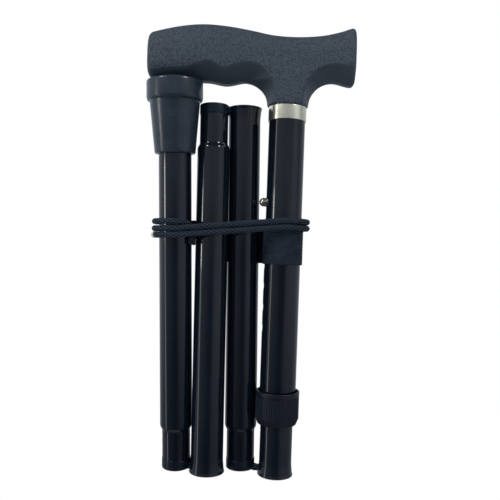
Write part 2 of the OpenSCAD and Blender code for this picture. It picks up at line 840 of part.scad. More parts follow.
handle_grip();
collar_band();
upper_tube();
collet_bush();
strap_band();
wrist_cord();
cord_crimp();
cord_knot();
lock_ring();
adjuster_tube();
spring_clip();
cord_anchor();
shock_cord_top();
snap_button();
cord_bend_upper();
tube_2();
end_bush_2();
shock_cord_2();
cord_bend_middle();
tube_3();
end_bush_3();
shock_cord_3();
cord_bend_lower();
tube_4();
end_bush_4();
shock_cord_4();
cord_stop();
rubber_tip();
tip_washer();
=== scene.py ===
"""Looks of a folding walking cane, folded in four and bound with its wrist cord."""

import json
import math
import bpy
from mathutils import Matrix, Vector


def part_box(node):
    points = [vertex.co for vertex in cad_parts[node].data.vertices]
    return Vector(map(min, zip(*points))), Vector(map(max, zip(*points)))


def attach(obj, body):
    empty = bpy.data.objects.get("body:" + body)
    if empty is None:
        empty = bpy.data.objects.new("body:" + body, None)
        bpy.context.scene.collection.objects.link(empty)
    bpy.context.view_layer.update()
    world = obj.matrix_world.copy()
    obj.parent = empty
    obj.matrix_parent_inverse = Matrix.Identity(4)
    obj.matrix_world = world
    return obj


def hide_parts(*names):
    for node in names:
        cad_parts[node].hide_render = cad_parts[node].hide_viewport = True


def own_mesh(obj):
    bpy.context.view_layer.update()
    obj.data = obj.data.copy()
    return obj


bl_info = {
    "name": "Folding cane",
    "version": (1, 0, 0),
    "blender": (4, 5, 0),
    "location": "View3D > Sidebar > Cane",
    "description": "Dresses the packed folding cane: tubes, handle, ring, tip, strap, cords and stage",
    "category": "Object",
}

import bmesh
import bpy
from bpy.props import FloatProperty, FloatVectorProperty, IntProperty, PointerProperty
from mathutils import Matrix, Vector

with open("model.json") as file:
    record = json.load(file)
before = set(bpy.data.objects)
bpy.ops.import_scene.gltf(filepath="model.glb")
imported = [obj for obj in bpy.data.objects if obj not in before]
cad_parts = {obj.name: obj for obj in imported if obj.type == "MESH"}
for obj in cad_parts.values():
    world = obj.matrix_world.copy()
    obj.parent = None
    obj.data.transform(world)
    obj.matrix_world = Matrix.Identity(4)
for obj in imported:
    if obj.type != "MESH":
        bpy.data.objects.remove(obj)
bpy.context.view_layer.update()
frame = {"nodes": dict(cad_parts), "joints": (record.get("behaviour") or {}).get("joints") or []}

# Places and sizes of the solids, in millimetres
MM = 0.001
JOINT = {j["name"]: j for j in frame["joints"]}
SHAFT = Vector(JOINT["ring_turn"]["pos_m"][:2]) / MM
TUBE_R, TUBE_BORE, TUBE_WALL = 9.75, 8.85, 0.9
BELL_R, BELL_L, BELL_LIP = 10.25, 7.0, 1.75
UPPER_R, UPPER_BORE = 10.9, 9.9
SPIGOT_R, SPIGOT_BORE, SPIGOT_L, SHOULDER_L = 8.5, 7.6, 26.0, 2.4
BUSH_R, BUSH_L, BUSH_BORE, PLUG_L = 8.75, 6.0, 3.0, 8.0
SECTION_L, SHAFT_H = 221.0, 221.2
SOCKET_L = 24.0
SEAT, REST_GAP = 0.05, 0.35
SHOCK_R, WRIST_R = 2.0, 1.6
CROSS_Z = SHOCK_R + REST_GAP
SLOT_W = SLOT_H = 2 * (SHOCK_R + REST_GAP)
BEND_HIGH, BEND_MID, BEND_OUT, BEND_FLAT, END_DROP = 9.0, 4.6, 2.0, 5.0, -0.5
CORD_IN = 14.0
TIP_END, TIP_FOOT_H, TIP_H, TIP_FLOOR = 232.94, 12.0, 43.0, 7.0
TIP_FOOT_R, TIP_TOP_R, TIP_MOUTH_R = 16.7, 14.9, 12.1
TUBE_4_L = TIP_END - TIP_FLOOR - 1.2
RING_Z, RING_H, RING_CONE_H, RING_RIM_H = 30.6, 20.0, 4.0, 2.7
RING_R, RING_BORE, RING_THROAT, RING_LIP_R, RING_LEDGE = 13.1, 12.05, 10.45, 11.35, 6.65
TUBE_END_Z = 42.6
ADJUSTER_TOP = 189.8
BUTTON_Z, BUTTON_R, BUTTON_BACK, BUTTON_TIP = 163.8, 2.65, 2.8, 15.0
HOLE_PITCH, HOLE_COUNT = 12.7, 7
BAND_H, BAND_WALL = 8.6, 0.5
STRAP_Z, STRAP_W, STRAP_T = 126.5, 22.0, 1.0
STRAP_IN = UPPER_R + REST_GAP
TAIL_STAND, TAIL_PAST = 3 * REST_GAP, 14.0
ANCHOR_TOP, KNOT_R = 139.8, 4.0

# Each section's foot and its two leans in degrees: the shaft, then sections two to four
FEET = [(0, 0, 0), (-21.1, 7.8, 0.7), (-41.2, 0, 0.186), (-60.2, 5.4, 0.7)]
LEANS = [(0, 0), (0, -1.25), (0, -0.76), (3.0, -1.85)]

# Roundings of rims in millimetres, and the angles in degrees over which edges stay sharp
EDGE, FINE_EDGE = 0.3, 0.2
SHARP, CORD_SHARP, STRAP_SHARP, TIP_SHARP = 40, 70, 60, 50
TINY = 1e-6


# Settings


def length(name, words, default):
    """A length setting, in metres."""
    return FloatProperty(name=name, description=words, default=default, unit="LENGTH")


def number(name, words, default, low, high):
    """A setting that counts something."""
    return IntProperty(name=name, description=words, default=default, min=low, max=high)


def colour(name, words, default):
    """A colour setting."""
    return FloatVectorProperty(
        name=name, description=words, subtype="COLOR", size=3, default=default, min=0, max=1
    )


class CaneSizes(bpy.types.PropertyGroup):
    """Sizes of the details that are added to the solids"""

    grip_voxel: length("Grip voxel", "Size of the grip's facets", 0.0008)
    rib_count: number("Ring ribs", "Ribs round the locking ring", 56, 8, 120)
    rib_width: length("Rib width", "Width of a rib", 0.00086)
    web_ribs: number("Webbing ribs", "Ribs across the strap's width", 15, 3, 40)
    web_rib_depth: length("Webbing rib depth", "Depth of a rib", 0.00036)
    stitch_count: number("Stitches", "Stitches in each row of the strap", 9, 2, 40)
    stitch_length: length("Stitch length", "Length of a stitch", 0.0019)
    braid_pitch: length("Braid pitch", "Length of one plait", 0.0031)
    braid_strands: number("Braid strands", "Plaits round the cord", 6, 3, 16)
    braid_depth: length("Braid depth", "Depth between plaits", 0.0004)


class CaneColours(bpy.types.PropertyGroup):
    """Base colours of the finishes"""

    tube: colour("Tube", "Gloss black of the tubes", (0.0021, 0.0042, 0.0084))
    grip: colour("Grip", "Grained plastic of the handle", (0.0365, 0.052, 0.076))
    rubber: colour("Rubber", "Rubber of the tip", (0.0115, 0.0185, 0.0305))
    plastic: colour("Plastic", "Plastic of the ring and the bushes", (0.0030, 0.0068, 0.0150))
    webbing: colour("Webbing", "Yarn of the strap", (0.0062, 0.0108, 0.0190))
    cord: colour("Cord", "Yarn of the cords", (0.0064, 0.0105, 0.0175))
    nickel: colour("Nickel", "Plated collar", (0.93, 0.86, 0.69))
    bronze: colour("Button", "Dark nickel of the button", (0.56, 0.51, 0.43))
    steel: colour("Steel", "Spring clip and washer", (0.6, 0.6, 0.62))
    nylon: colour("Nylon", "Plugs of the elastic cord", (0.62, 0.62, 0.58))
    crimp: colour("Crimp", "Crimp on the wrist cord", (0.42, 0.43, 0.44))


# Placing


def section_matrix(n):
    """Frame of section n: its foot, with +Z along its axis, in metres."""
    a, b = (math.radians(v) for v in LEANS[n])
    foot = Vector(FEET[n]) + Vector((SHAFT.x, SHAFT.y, 0))
    return Matrix.Translation(foot * MM) @ Matrix.Rotation(b, 4, "Y") @ Matrix.Rotation(a, 4, "X")


def upside_down(n, high):
    """Frame of section n seen from its upper end."""
    return section_matrix(n) @ Matrix.Translation((0, 0, high * MM)) @ Matrix.Scale(-1, 4, (0, 0, 1))


def on_axis(n, z):
    """Point at height z on section n's axis, in millimetres."""
    return (section_matrix(n) @ Vector((0, 0, z * MM))) / MM


def turn_to(a, b, z):
    """Direction from section a to section b at height z, as an angle about Z."""
    d = on_axis(b, z) - on_axis(a, z)
    return math.atan2(d.y, d.x)


def unit(value):
    """A value held between 0 and 1."""
    return min(max(value, 0), 1)


# Mesh making

FINISH = {}
# The most of a side that a rounding may take
ROUND_SHARE = 0.45
# Form of the plaits, and the part of their depth that stands inside the cord's radius
PLAIT_POWER, PLAIT_MEAN = 0.6, 0.45
CORD_SIDES = 36


def shaded(mesh, sharp=SHARP):
    """mesh, smooth but for its sharp edges."""
    mesh.shade_smooth()
    mesh.set_sharp_from_angle(angle=math.radians(sharp))
    return mesh


def finish_mesh(bm, name, sharp=SHARP):
    """A mesh from bm with outward faces, smooth but for its sharp edges."""
    bmesh.ops.recalc_face_normals(bm, faces=bm.faces)
    if bm.calc_volume(signed=True) < 0:
        bmesh.ops.reverse_faces(bm, faces=bm.faces)
    mesh = bpy.data.meshes.new(name)
    bm.to_mesh(mesh)
    bm.free()
    return shaded(mesh, sharp)


def piece(name, mesh, body, slot, nodes=(), finish=None):
    """An object for mesh that moves with body and stands for nodes, in its slot's finish or another."""
    obj = bpy.data.objects.new(name, mesh)
    bpy.context.scene.collection.objects.link(obj)
    mesh.materials.clear()
    mesh.materials.append(FINISH[finish or slot])
    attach(obj, body)
    if nodes:
        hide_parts(*nodes)
    return obj


def rounded(corners, steps=5):
    """Outline points of corners (r, z, round) with each corner rounded as far as its sides allow."""
    points, count = [], len(corners)
    for i, (r, z, fillet) in enumerate(corners):
        here = Vector((r, z))
        before, after = (Vector(corners[k % count][:2]) - here for k in (i - 1, i + 1))
        if not fillet or before.length < TINY or after.length < TINY:
            points.append(here)
            continue
        half = before.angle(after) / 2
        cut = min(fillet / math.tan(half), before.length * ROUND_SHARE, after.length * ROUND_SHARE)
        start, end = here + before.normalized() * cut, here + after.normalized() * cut
        for k in range(steps + 1):
            t = k / steps
            points.append(start * (1 - t) ** 2 + here * 2 * t * (1 - t) + end * t * t)
    return points


def sleeve(inner, outer, low, high, inside, outside):
    """Corners of a plain sleeve, with the roundings of its inner and its outer edges."""
    return [(inner, low, inside), (outer, low, outside), (outer, high, outside), (inner, high, inside)]


def lathe(bm, outline, matrix, sides=96, closed=True):
    """Spins an outline of (r, z) points about +Z of matrix, in millimetres."""
    rings = []
    for p in outline:
        if p[0] < TINY:
            rings.append([bm.verts.new(matrix @ Vector((0, 0, p[1] * MM)))] * sides)
            continue
        rings.append([
            bm.verts.new(matrix @ (Vector((p[0] * math.cos(a), p[0] * math.sin(a), p[1])) * MM))
            for a in (2 * math.pi * k / sides for k in range(sides))
        ])
    for i in range(len(rings) if closed else len(rings) - 1):
        low, high = rings[i], rings[(i + 1) % len(rings)]
        for k in range(sides):
            corners = [low[k], low[(k + 1) % sides], high[(k + 1) % sides], high[k]]
            unique = list(dict.fromkeys(corners))
            if len(unique) > 2:
                bm.faces.new(unique)


def turned(name, corners, matrix, sides=96, closed=True, sharp=SHARP):
    """A mesh turned from rounded corners."""
    bm = bmesh.new()
    lathe(bm, rounded(corners), matrix, sides, closed)
    return finish_mesh(bm, name, sharp)


def evaluated(obj, name):
    """The plain mesh that obj's modifiers make; obj is then deleted."""
    graph = bpy.context.evaluated_depsgraph_get()
    mesh = bpy.data.meshes.new_from_object(obj.evaluated_get(graph), depsgraph=graph)
    mesh.name = name
    bpy.data.objects.remove(obj)
    return mesh


def cut_away(mesh, cutters):
    """mesh less each cutter mesh."""
    for cutter in cutters:
        tool = bpy.data.objects.new("cutter", cutter)
        work = bpy.data.objects.new("work", mesh)
        for o in (tool, work):
            bpy.context.scene.collection.objects.link(o)
        cut = work.modifiers.new("cut", "BOOLEAN")
        cut.object, cut.operation, cut.solver = tool, "DIFFERENCE", "EXACT"
        mesh = evaluated(work, mesh.name)
        bpy.data.objects.remove(tool)
    return shaded(mesh)


def block(low, high, matrix):
    """A box mesh between two corners in matrix's frame, in millimetres."""
    bm = bmesh.new()
    bmesh.ops.create_cube(bm, size=1)
    low, high = Vector(low), Vector(high)
    for v in bm.verts:
        mid = (low + high) / 2 + Vector(v.co[i] * (high - low)[i] for i in range(3))
        v.co = matrix @ (mid * MM)
    return finish_mesh(bm, "block")


def rod(radius, low, high, matrix):
    """A round bar mesh along matrix's +Z, in millimetres."""
    bm = bmesh.new()
    lathe(bm, [(0, low), (radius, low), (radius, high), (0, high)], matrix, 40, closed=False)
    return finish_mesh(bm, "rod")


def rim_slot(n, angle, z, deep, reach):
    """Cutter for a cord's slot through a rim at height z of section n, deep along its axis."""
    turn = Matrix.Rotation(angle, 4, "Z")
    low, high = sorted((z - math.copysign(1, deep), z + deep))
    return block((0, -SLOT_W / 2, low), (reach + 1, SLOT_W / 2, high), section_matrix(n) @ turn)


def plait_height(u, v, sizes):
    """Height of a braid, from 0 between plaits to 1 on one, at u round the cord and v metres along it."""
    a, b = u * sizes.braid_strands, v / sizes.braid_pitch
    return abs(math.sin(math.pi * (a + b)) * math.sin(math.pi * (a - b))) ** PLAIT_POWER


def swept(bm, path, radius, sizes, sides=CORD_SIDES):
    """A braided cord along path, in millimetres, with U round it and V along it in metres."""
    uv = bm.loops.layers.uv.verify()
    count, side, rings, run = len(path), None, [], [0.0]
    for i in range(1, count):
        run.append(run[-1] + (path[i] - path[i - 1]).length * MM)
    for i, p in enumerate(path):
        d = (path[min(i + 1, count - 1)] - path[max(i - 1, 0)]).normalized()
        if side is None:
            side = d.orthogonal()
        side = (side - d * side.dot(d)).normalized()
        other = d.cross(side)
        ring = []
        for k in range(sides):
            a = 2 * math.pi * k / sides
            r = radius + sizes.braid_depth / MM * (plait_height(k / sides, run[i], sizes) - PLAIT_MEAN)
            ring.append(bm.verts.new((p + r * (math.cos(a) * side + math.sin(a) * other)) * MM))
        rings.append(ring)
    for i in range(count - 1):
        for k in range(sides):
            m = (k + 1) % sides
            face = bm.faces.new([rings[i][k], rings[i][m], rings[i + 1][m], rings[i + 1][k]])
            around = [k / sides, (k + 1) / sides, (k + 1) / sides, k / sides]
            for loop, u, v in zip(face.loops, around, [run[i], run[i], run[i + 1], run[i + 1]]):
                loop[uv].uv = (u, v)
    bm.faces.new(rings[0])
    bm.faces.new(rings[-1])


def braid(name, path, radius, sizes, sides=CORD_SIDES):
    """A mesh of braided cord along path."""
    bm = bmesh.new()
    swept(bm, path, radius, sizes, sides)
    return finish_mesh(bm, name, CORD_SHARP)


def even(path, step, soften=0, held=(2, 8)):
    """Points a step apart along path, with its climbs softened but for the points held at its two ends."""
    points = [path[0].copy()]
    for a, b in zip(path, path[1:]):
        count = max(1, round((b - a).length / step))
        points += [a + (b - a) * k / count for k in range(1, count + 1)]
    for _ in range(soften):
        z = [p.z for p in points]
        for i in range(held[0], len(points) - held[1]):
            points[i].z = (z[i - 1] + 2 * z[i] + z[i + 1]) / 4
    return points


def smooth_path(points, step):
    """Even points on a smooth curve through the given points."""
    ends = [points[0] * 2 - points[1], *points, points[-1] * 2 - points[-2]]
    fine = []
    for i in range(1, len(ends) - 2):
        a, b, c, d = ends[i - 1 : i + 3]
        count = max(2, round((c - b).length / step))
        for k in range(count):
            t = k / count
            square, cube = 2 * a - 5 * b + 4 * c - d, 3 * b - a - 3 * c + d
            fine.append(0.5 * (2 * b + (c - a) * t + square * t**2 + cube * t**3))
    return [*fine, points[-1]]


# Shader groups and materials

FLOAT, VECTOR, INT = "NodeSocketFloat", "NodeSocketVector", "NodeSocketInt"
STUFF, GEOMETRY = "NodeSocketMaterial", "NodeSocketGeometry"


def fill(tree, node, **sockets):
    """Links or fills a node's sockets by name; _0 names a socket by number."""
    for key, value in sockets.items():
        socket = node.inputs[int(key[1:])] if key[0] == "_" else node.inputs[key.replace("_", " ")]
        if isinstance(value, bpy.types.NodeSocket):
            tree.links.new(value, socket)
        else:
            socket.default_value = value
    return node


def add(tree, kind, props=None, **sockets):
    """A node with its properties set and its sockets linked or filled."""
    n = tree.nodes.new(kind)
    for key, value in (props or {}).items():
        setattr(n, key, value)
    return fill(tree, n, **sockets)


def maths(tree, operation, a, b=0.0):
    """The value of a Math node."""
    return add(tree, "ShaderNodeMath", {"operation": operation}, _0=a, _1=b).outputs[0]


def summed(tree, a, share_a, b, share_b):
    """The sum of two values, each times its share."""
    return maths(tree, "ADD", maths(tree, "MULTIPLY", a, share_a), maths(tree, "MULTIPLY", b, share_b))


def mapped(tree, value, low=0.0, high=1.0, to_low=0.0, to_high=1.0, kind="LINEAR"):
    """A value carried from one range to another."""
    ends = {"From_Min": low, "From_Max": high, "To_Min": to_low, "To_Max": to_high}
    ranges = add(tree, "ShaderNodeMapRange", {"interpolation_type": kind}, Value=value, **ends)
    return ranges.outputs["Result"]


def mixed(tree, fac, a, b, blend="MIX"):
    """A mix of two colours."""
    kind = {"data_type": "RGBA", "blend_type": blend}
    return add(tree, "ShaderNodeMix", kind, _0=fac, _6=a, _7=b).outputs[2]


def noise(tree, vector, scale, detail, roughness=0.5):
    """The outputs of a noise texture."""
    return add(
        tree, "ShaderNodeTexNoise", Vector=vector, Scale=scale, Detail=detail, Roughness=roughness
    ).outputs


def group(name, inputs, outputs, kind="ShaderNodeTree"):
    """A new node group: its tree, its inputs' sockets and its output node."""
    tree = bpy.data.node_groups.new(name, kind)
    for in_out, sockets in (("INPUT", inputs), ("OUTPUT", outputs)):
        for label, socket in sockets.items():
            tree.interface.new_socket(label, in_out=in_out, socket_type=socket)
    return tree, tree.nodes.new("NodeGroupInput").outputs, tree.nodes.new("NodeGroupOutput")


def placed(tree, name, **sockets):
    """The outputs of a shader group placed in a material."""
    return add(tree, "ShaderNodeGroup", {"node_tree": bpy.data.node_groups[name]}, **sockets).outputs


def pebble_grain():
    """Pebbled grain of the moulded handle: cells of one size broken up by a finer noise. Its shade is lighter
    on the pebbles' tops and darker between them, which is painted light and shade, with some random tone from
    the noise.
    """
    tree, i, out = group(
        "Pebble grain", {"Vector": VECTOR, "Cells": FLOAT}, {"Height": FLOAT, "Shade": FLOAT}
    )
    warp = noise(tree, i["Vector"], 900.0, 2.0)["Color"]
    moved = add(tree, "ShaderNodeMix", {"data_type": "VECTOR"}, _0=0.0006, _4=i["Vector"], _5=warp).outputs[1]
    smooth = {"feature": "SMOOTH_F1"}
    cells = add(tree, "ShaderNodeTexVoronoi", smooth, Vector=moved, Scale=i["Cells"], Smoothness=0.25)
    fine = noise(tree, i["Vector"], 2600.0, 3.0)["Fac"]
    pebble = maths(tree, "SUBTRACT", 1.0, cells.outputs["Distance"])
    fill(tree, out, Height=summed(tree, pebble, 1.0, fine, 0.35), Shade=summed(tree, pebble, 0.8, fine, 0.3))


def smudges():
    """Slow change over a smooth surface, from handling."""
    tree, i, out = group("Smudges", {"Vector": VECTOR, "Size": FLOAT}, {"Mask": FLOAT, "Fine": FLOAT})
    wide = noise(tree, i["Vector"], i["Size"], 5.0, 0.6)["Fac"]
    fine = noise(tree, i["Vector"], 1800.0, 2.0)["Fac"]
    fill(tree, out, Mask=wide, Fine=fine)


def worn_edges():
    """Where an edge stands out and has been rubbed."""
    tree, i, out = group("Worn edges", {"Vector": VECTOR, "Amount": FLOAT}, {"Mask": FLOAT})
    raised = mapped(tree, add(tree, "ShaderNodeNewGeometry").outputs["Pointiness"], 0.6, 0.75)
    patchy = noise(tree, i["Vector"], 400.0, 4.0)["Fac"]
    fill(tree, out, Mask=maths(tree, "MULTIPLY", maths(tree, "MULTIPLY", raised, patchy), i["Amount"]))


def plaits():
    """Diamond plaits of a braid, from U round the cord and V along it. Its shade is the plaits' height with
    some fuzz, and it carries painted highlights on the plaits' tops and painted shade between them.
    """
    tree, i, out = group(
        "Plaits", {"Vector": VECTOR, "Strands": FLOAT, "Pitch": FLOAT}, {"Height": FLOAT, "Shade": FLOAT}
    )
    part = add(tree, "ShaderNodeSeparateXYZ", Vector=i["Vector"]).outputs
    around = maths(tree, "MULTIPLY", part["X"], i["Strands"])
    along = maths(tree, "DIVIDE", part["Y"], i["Pitch"])
    waves = []
    for sign in ("ADD", "SUBTRACT"):
        turn = maths(tree, "MULTIPLY", maths(tree, sign, around, along), math.pi)
        waves.append(maths(tree, "ABSOLUTE", maths(tree, "SINE", turn)))
    height = maths(tree, "POWER", maths(tree, "MULTIPLY", *waves), PLAIT_POWER)
    fuzz = noise(tree, i["Vector"], 220.0, 4.0)["Fac"]
    fill(tree, out, Height=summed(tree, height, 1.0, fuzz, 0.25), Shade=summed(tree, height, 0.7, fuzz, 0.5))


def scaled(rgb, times):
    """A colour made lighter or darker."""
    return (*(min(1.0, c * times) for c in rgb), 1)


def shades(tree, fac, rgb, dark, light, low=0.3, high=0.7):
    """Colour that goes from dark to light times rgb as fac goes from low to high."""
    return mixed(tree, mapped(tree, fac, low, high), scaled(rgb, dark), scaled(rgb, light))


def ranged(tree, fac, low, high):
    """A value that goes from low to high with fac."""
    return mapped(tree, fac, to_low=low, to_high=high)


def material(name):
    """A new material, its tree, its shader and its object coordinates."""
    made = bpy.data.materials.new(name)
    made.use_nodes = True
    tree = made.node_tree
    return made, tree, tree.nodes["Principled BSDF"], add(tree, "ShaderNodeTexCoord").outputs


def bumped(tree, shader, height, strength, distance):
    """Gives the shader a bump, its distance in metres."""
    bump = add(tree, "ShaderNodeBump", Height=height, Strength=strength, Distance=distance)
    fill(tree, shader, Normal=bump.outputs["Normal"])


def smooth_finish(name, rgb, tones, rough, bump, smudge_size, worn_amount, worn_colour, **sockets):
    """A smooth hard finish: slow smudges in its tone and its roughness, and rubbed edges."""
    made, tree, shader, where = material(name)
    smudge = placed(tree, "Smudges", Vector=where["Object"], Size=smudge_size)
    worn = placed(tree, "Worn edges", Vector=where["Object"], Amount=worn_amount)
    base = mixed(tree, worn["Mask"], shades(tree, smudge["Mask"], rgb, *tones), worn_colour)
    fill(tree, shader, Base_Color=base, Roughness=ranged(tree, smudge["Mask"], *rough), **sockets)
    bumped(tree, shader, smudge["Fine"], *bump)
    return made


def gloss_tube(rgb):
    """Gloss black anodised tube: near-black and clean, with a little haze."""
    return smooth_finish(
        "tube_gloss_black", rgb, tones=(0.8, 1.3), rough=(0.05, 0.13), bump=(0.03, 0.00003), smudge_size=35.0,
        worn_amount=1.0, worn_colour=(0.11, 0.11, 0.11, 1), IOR=1.52,
    )


def black_rubber(rgb):
    """Moulded rubber with a soft shine, and a bloom that dulls it in places."""
    return smooth_finish(
        "tip_rubber", rgb, tones=(0.8, 1.3), rough=(0.2, 0.32), bump=(0.12, 0.00008), smudge_size=90.0,
        worn_amount=0.6, worn_colour=scaled(rgb, 2.6), Specular_IOR_Level=0.45,
    )


def plastic(name, rgb, rough):
    """Moulded plastic, slightly matt, with paler edges."""
    return smooth_finish(
        name, rgb, tones=(0.85, 1.2), rough=rough, bump=(0.1, 0.00006), smudge_size=120.0,
        worn_amount=0.5, worn_colour=scaled(rgb, 2.2), Specular_IOR_Level=0.3,
    )


def grained_grip(rgb):
    """Moulded handle with a fine pebbled grain; smooth where its mesh says so, and darker there as painted
    shade under its creases.
    """
    made, tree, shader, where = material("grip_grained_black")
    grain = placed(tree, "Pebble grain", Vector=where["Object"], Cells=1020.0)
    smudge = placed(tree, "Smudges", Vector=where["Object"], Size=28.0)
    smooth = add(tree, "ShaderNodeAttribute", {"attribute_name": "smooth_moulding"}).outputs["Fac"]
    # The pebbles' tops are painted lighter and the hollows between them darker: painted light and shade on
    # the grain
    pebbles = shades(tree, grain["Shade"], rgb, 0.54, 1.42, 0.35, 1.0)
    # Under the creases the colour is an even, darker tone: painted shade on the underside, where the moulding
    # is also smooth
    base = mixed(tree, smooth, pebbles, shades(tree, smudge["Mask"], rgb, 0.58, 0.72))
    rough = summed(tree, ranged(tree, smudge["Mask"], 0.5, 0.58), 1.0, smooth, -0.14)
    fill(tree, shader, Base_Color=base, Roughness=rough, Specular_IOR_Level=0.28)
    height = maths(tree, "MULTIPLY", grain["Height"], maths(tree, "SUBTRACT", 1.0, smooth))
    bumped(tree, shader, height, 1.0, 0.00034)
    return made


def plated(name, rgb, rough, lines):
    """Plated or bright metal with fine turning lines of the given number a metre."""
    made, tree, shader, where = material(name)
    flat = add(tree, "ShaderNodeMapping", Vector=where["Object"], Scale=(20.0, 20.0, lines)).outputs["Vector"]
    turning = noise(tree, flat, 1.0, 3.0)["Fac"]
    smudge = placed(tree, "Smudges", Vector=where["Object"], Size=80.0)
    base = shades(tree, smudge["Mask"], rgb, 0.86, 1.1)
    fill(tree, shader, Base_Color=base, Roughness=ranged(tree, turning, *rough), Metallic=1.0)
    bumped(tree, shader, turning, 0.05, 0.00003)
    return made


def yarn(name, rgb, strands, pitch, tones, start, rough, bump):
    """Braided or woven yarn, whose plaits start to show at a level of their shade: dark between the plaits
    and light on their tops, as painted shade and painted highlights.
    """
    made, tree, shader, where = material(name)
    weave = placed(tree, "Plaits", Vector=where["UV"], Strands=strands, Pitch=pitch)
    # The tones run from painted shade between the plaits to painted highlights on their tops
    base = shades(tree, weave["Shade"], rgb, *tones, start, 1.0)
    rough = ranged(tree, weave["Shade"], *rough)
    fill(tree, shader, Base_Color=base, Roughness=rough, Specular_IOR_Level=0.16)
    bumped(tree, shader, weave["Height"], bump, 0.0002)
    return made


def braided(rgb, sizes):
    """Braided cord, with painted highlights on its plaits and painted shade between them."""
    return yarn(
        "cord_braid", rgb, float(sizes.braid_strands), sizes.braid_pitch,
        tones=(0.1, 5.2), start=0.5, rough=(0.82, 0.62), bump=0.6,
    )


def woven(rgb):
    """Woven webbing: cross yarns over the ribs, with painted highlights on the yarns and painted shade
    between them.
    """
    return yarn(
        "strap_webbing", rgb, 1100.0, 0.0011, tones=(0.15, 3.4), start=0.38, rough=(0.9, 0.7), bump=0.7
    )


class CANE_OT_finishes(bpy.types.Operator):
    """Makes the finishes that the cane's pieces share"""

    bl_idname = "cane.finishes"
    bl_label = "Finishes"

    def execute(self, context):
        c, s = context.scene.cane_colours, context.scene.cane_sizes
        for make in (pebble_grain, smudges, worn_edges, plaits):
            make()
        FINISH["tube"] = gloss_tube(c.tube)
        FINISH["handle"] = grained_grip(c.grip)
        FINISH["tip"] = black_rubber(c.rubber)
        FINISH["ring"] = plastic("ring_plastic", c.plastic, (0.32, 0.45))
        FINISH["bush"] = plastic("bush_plastic", c.plastic, (0.2, 0.32))
        FINISH["band"] = plated("collar_nickel", c.nickel, (0.16, 0.28), 9000.0)
        FINISH["button"] = plated("button_dark_nickel", c.bronze, (0.2, 0.34), 4000.0)
        FINISH["spring"] = plated("spring_steel", c.steel, (0.25, 0.4), 3000.0)
        FINISH["plug"] = plastic("plug_nylon", c.nylon, (0.4, 0.55))
        FINISH["crimp"] = plastic("crimp_grey", c.crimp, (0.3, 0.45))
        FINISH["webbing"] = woven(c.webbing)
        FINISH["cord"] = braided(c.cord, s)
        return {"FINISHED"}


# Wrist cord

# Heights over the strap's foot of the cord's turns at the left and at the right, and of its start
WIND_LEFT, WIND_RIGHT, WIND_START = (15.3, 19.1, 23.3), (22.1, 25.9), 17.0
# The tail: where it leaves the last turn, the radius of its bend and the height of its end
TUCK, TUCK_R, TUCK_END = math.radians(296), 7.5, 15.7
ARC_STEP, TUCK_STEPS = 1.2, 12
# The knot's coil in metres, its turns and steps, and its cord's radius in millimetres
COIL_R, COIL_ENDS, COIL_TURNS, COIL_STEPS, COIL_CORD_R = 0.0011, 0.0024, 2.5, 48, 1.15
CRIMP_L, CRIMP_WALL, CRIMP_EDGE = 3.5, 0.42, 0.25


def wrist_route():
    """The wrist cord's line, as the solid has it: two and a half turns round the bundle, then a tail."""
    wind_z = STRAP_Z + WIND_LEFT[1]
    hub_s, hub_2, hub_4 = SHAFT.copy(), on_axis(1, wind_z).to_2d(), on_axis(3, wind_z).to_2d()
    over = REST_GAP + WRIST_R
    rad_s, rad_2 = STRAP_IN + STRAP_T + over, TUBE_R + TAIL_STAND + STRAP_T + over
    rad_4 = TUBE_R + 2 * REST_GAP + over

    def leave(ci, ri, cj, rj):
        d = cj - ci
        return (math.atan2(d.y, d.x) - math.acos((ri - rj) / d.length)) % (2 * math.pi)

    def around(c, r, a, z):
        return Vector((c.x + r * math.cos(a), c.y + r * math.sin(a), STRAP_Z + z))

    def arc(c, r, a, b, z):
        count = max(2, math.ceil(r * abs(b - a) / ARC_STEP))
        return [around(c, r, a + (b - a) * k / count, z) for k in range(count + 1)]

    s2 = leave(hub_s, rad_s, hub_2, rad_2)
    t4 = leave(hub_2, rad_2, hub_4, rad_4)
    fs = leave(hub_4, rad_4, hub_s, rad_s)
    path = [around(hub_s, rad_s, s2, WIND_START)]
    before = WIND_START
    for k, z in enumerate(WIND_LEFT):
        goes_on = k < len(WIND_RIGHT)
        path += arc(hub_2, rad_2, s2, t4, (before + z) / 2)
        path += arc(hub_4, rad_4, t4, fs if goes_on else TUCK, z)
        if goes_on:
            before = WIND_RIGHT[k]
            path += arc(hub_s, rad_s, fs - 2 * math.pi, s2, before)
    for k in range(1, TUCK_STEPS + 1):
        a = math.pi / 2 * k / TUCK_STEPS
        drop = TUCK_R * (1 - math.cos(a))
        path.append(around(hub_4, rad_4, TUCK + TUCK_R * math.sin(a) / rad_4, WIND_LEFT[-1] - drop))
    path.append(Vector((path[-1].x, path[-1].y, STRAP_Z + TUCK_END)))
    return even(path, step=1.0, soften=4)


def knot_line():
    """The knot's line: a short upright coil in the place of its solid, in millimetres."""
    low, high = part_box("cord_knot")
    centre, tall = (low + high) / 2, high.z - low.z - COIL_ENDS
    points = []
    for k in range(COIL_STEPS + 1):
        a = 2 * math.pi * COIL_TURNS * k / COIL_STEPS
        turn = Vector((COIL_R * math.cos(a), COIL_R * math.sin(a), tall * (k / COIL_STEPS - 0.5)))
        points.append((centre + turn) / MM)
    return points


def crimp_mesh(path):
    """The crimp, a short sleeve on the cord's line where its solid is."""
    low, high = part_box("cord_crimp")
    middle = (low + high) / 2 / MM
    near = min(range(1, len(path) - 1), key=lambda i: (path[i] - middle).length)
    way = (path[near + 1] - path[near - 1]).normalized()
    seat = Matrix.Translation(path[near] * MM) @ way.to_track_quat("Z", "Y").to_matrix().to_4x4()
    half = CRIMP_L / 2
    corners = sleeve(WRIST_R + SEAT, WRIST_R + CRIMP_WALL, -half, half, 0, CRIMP_EDGE)
    return turned("wrist_crimp", corners, seat, 32)


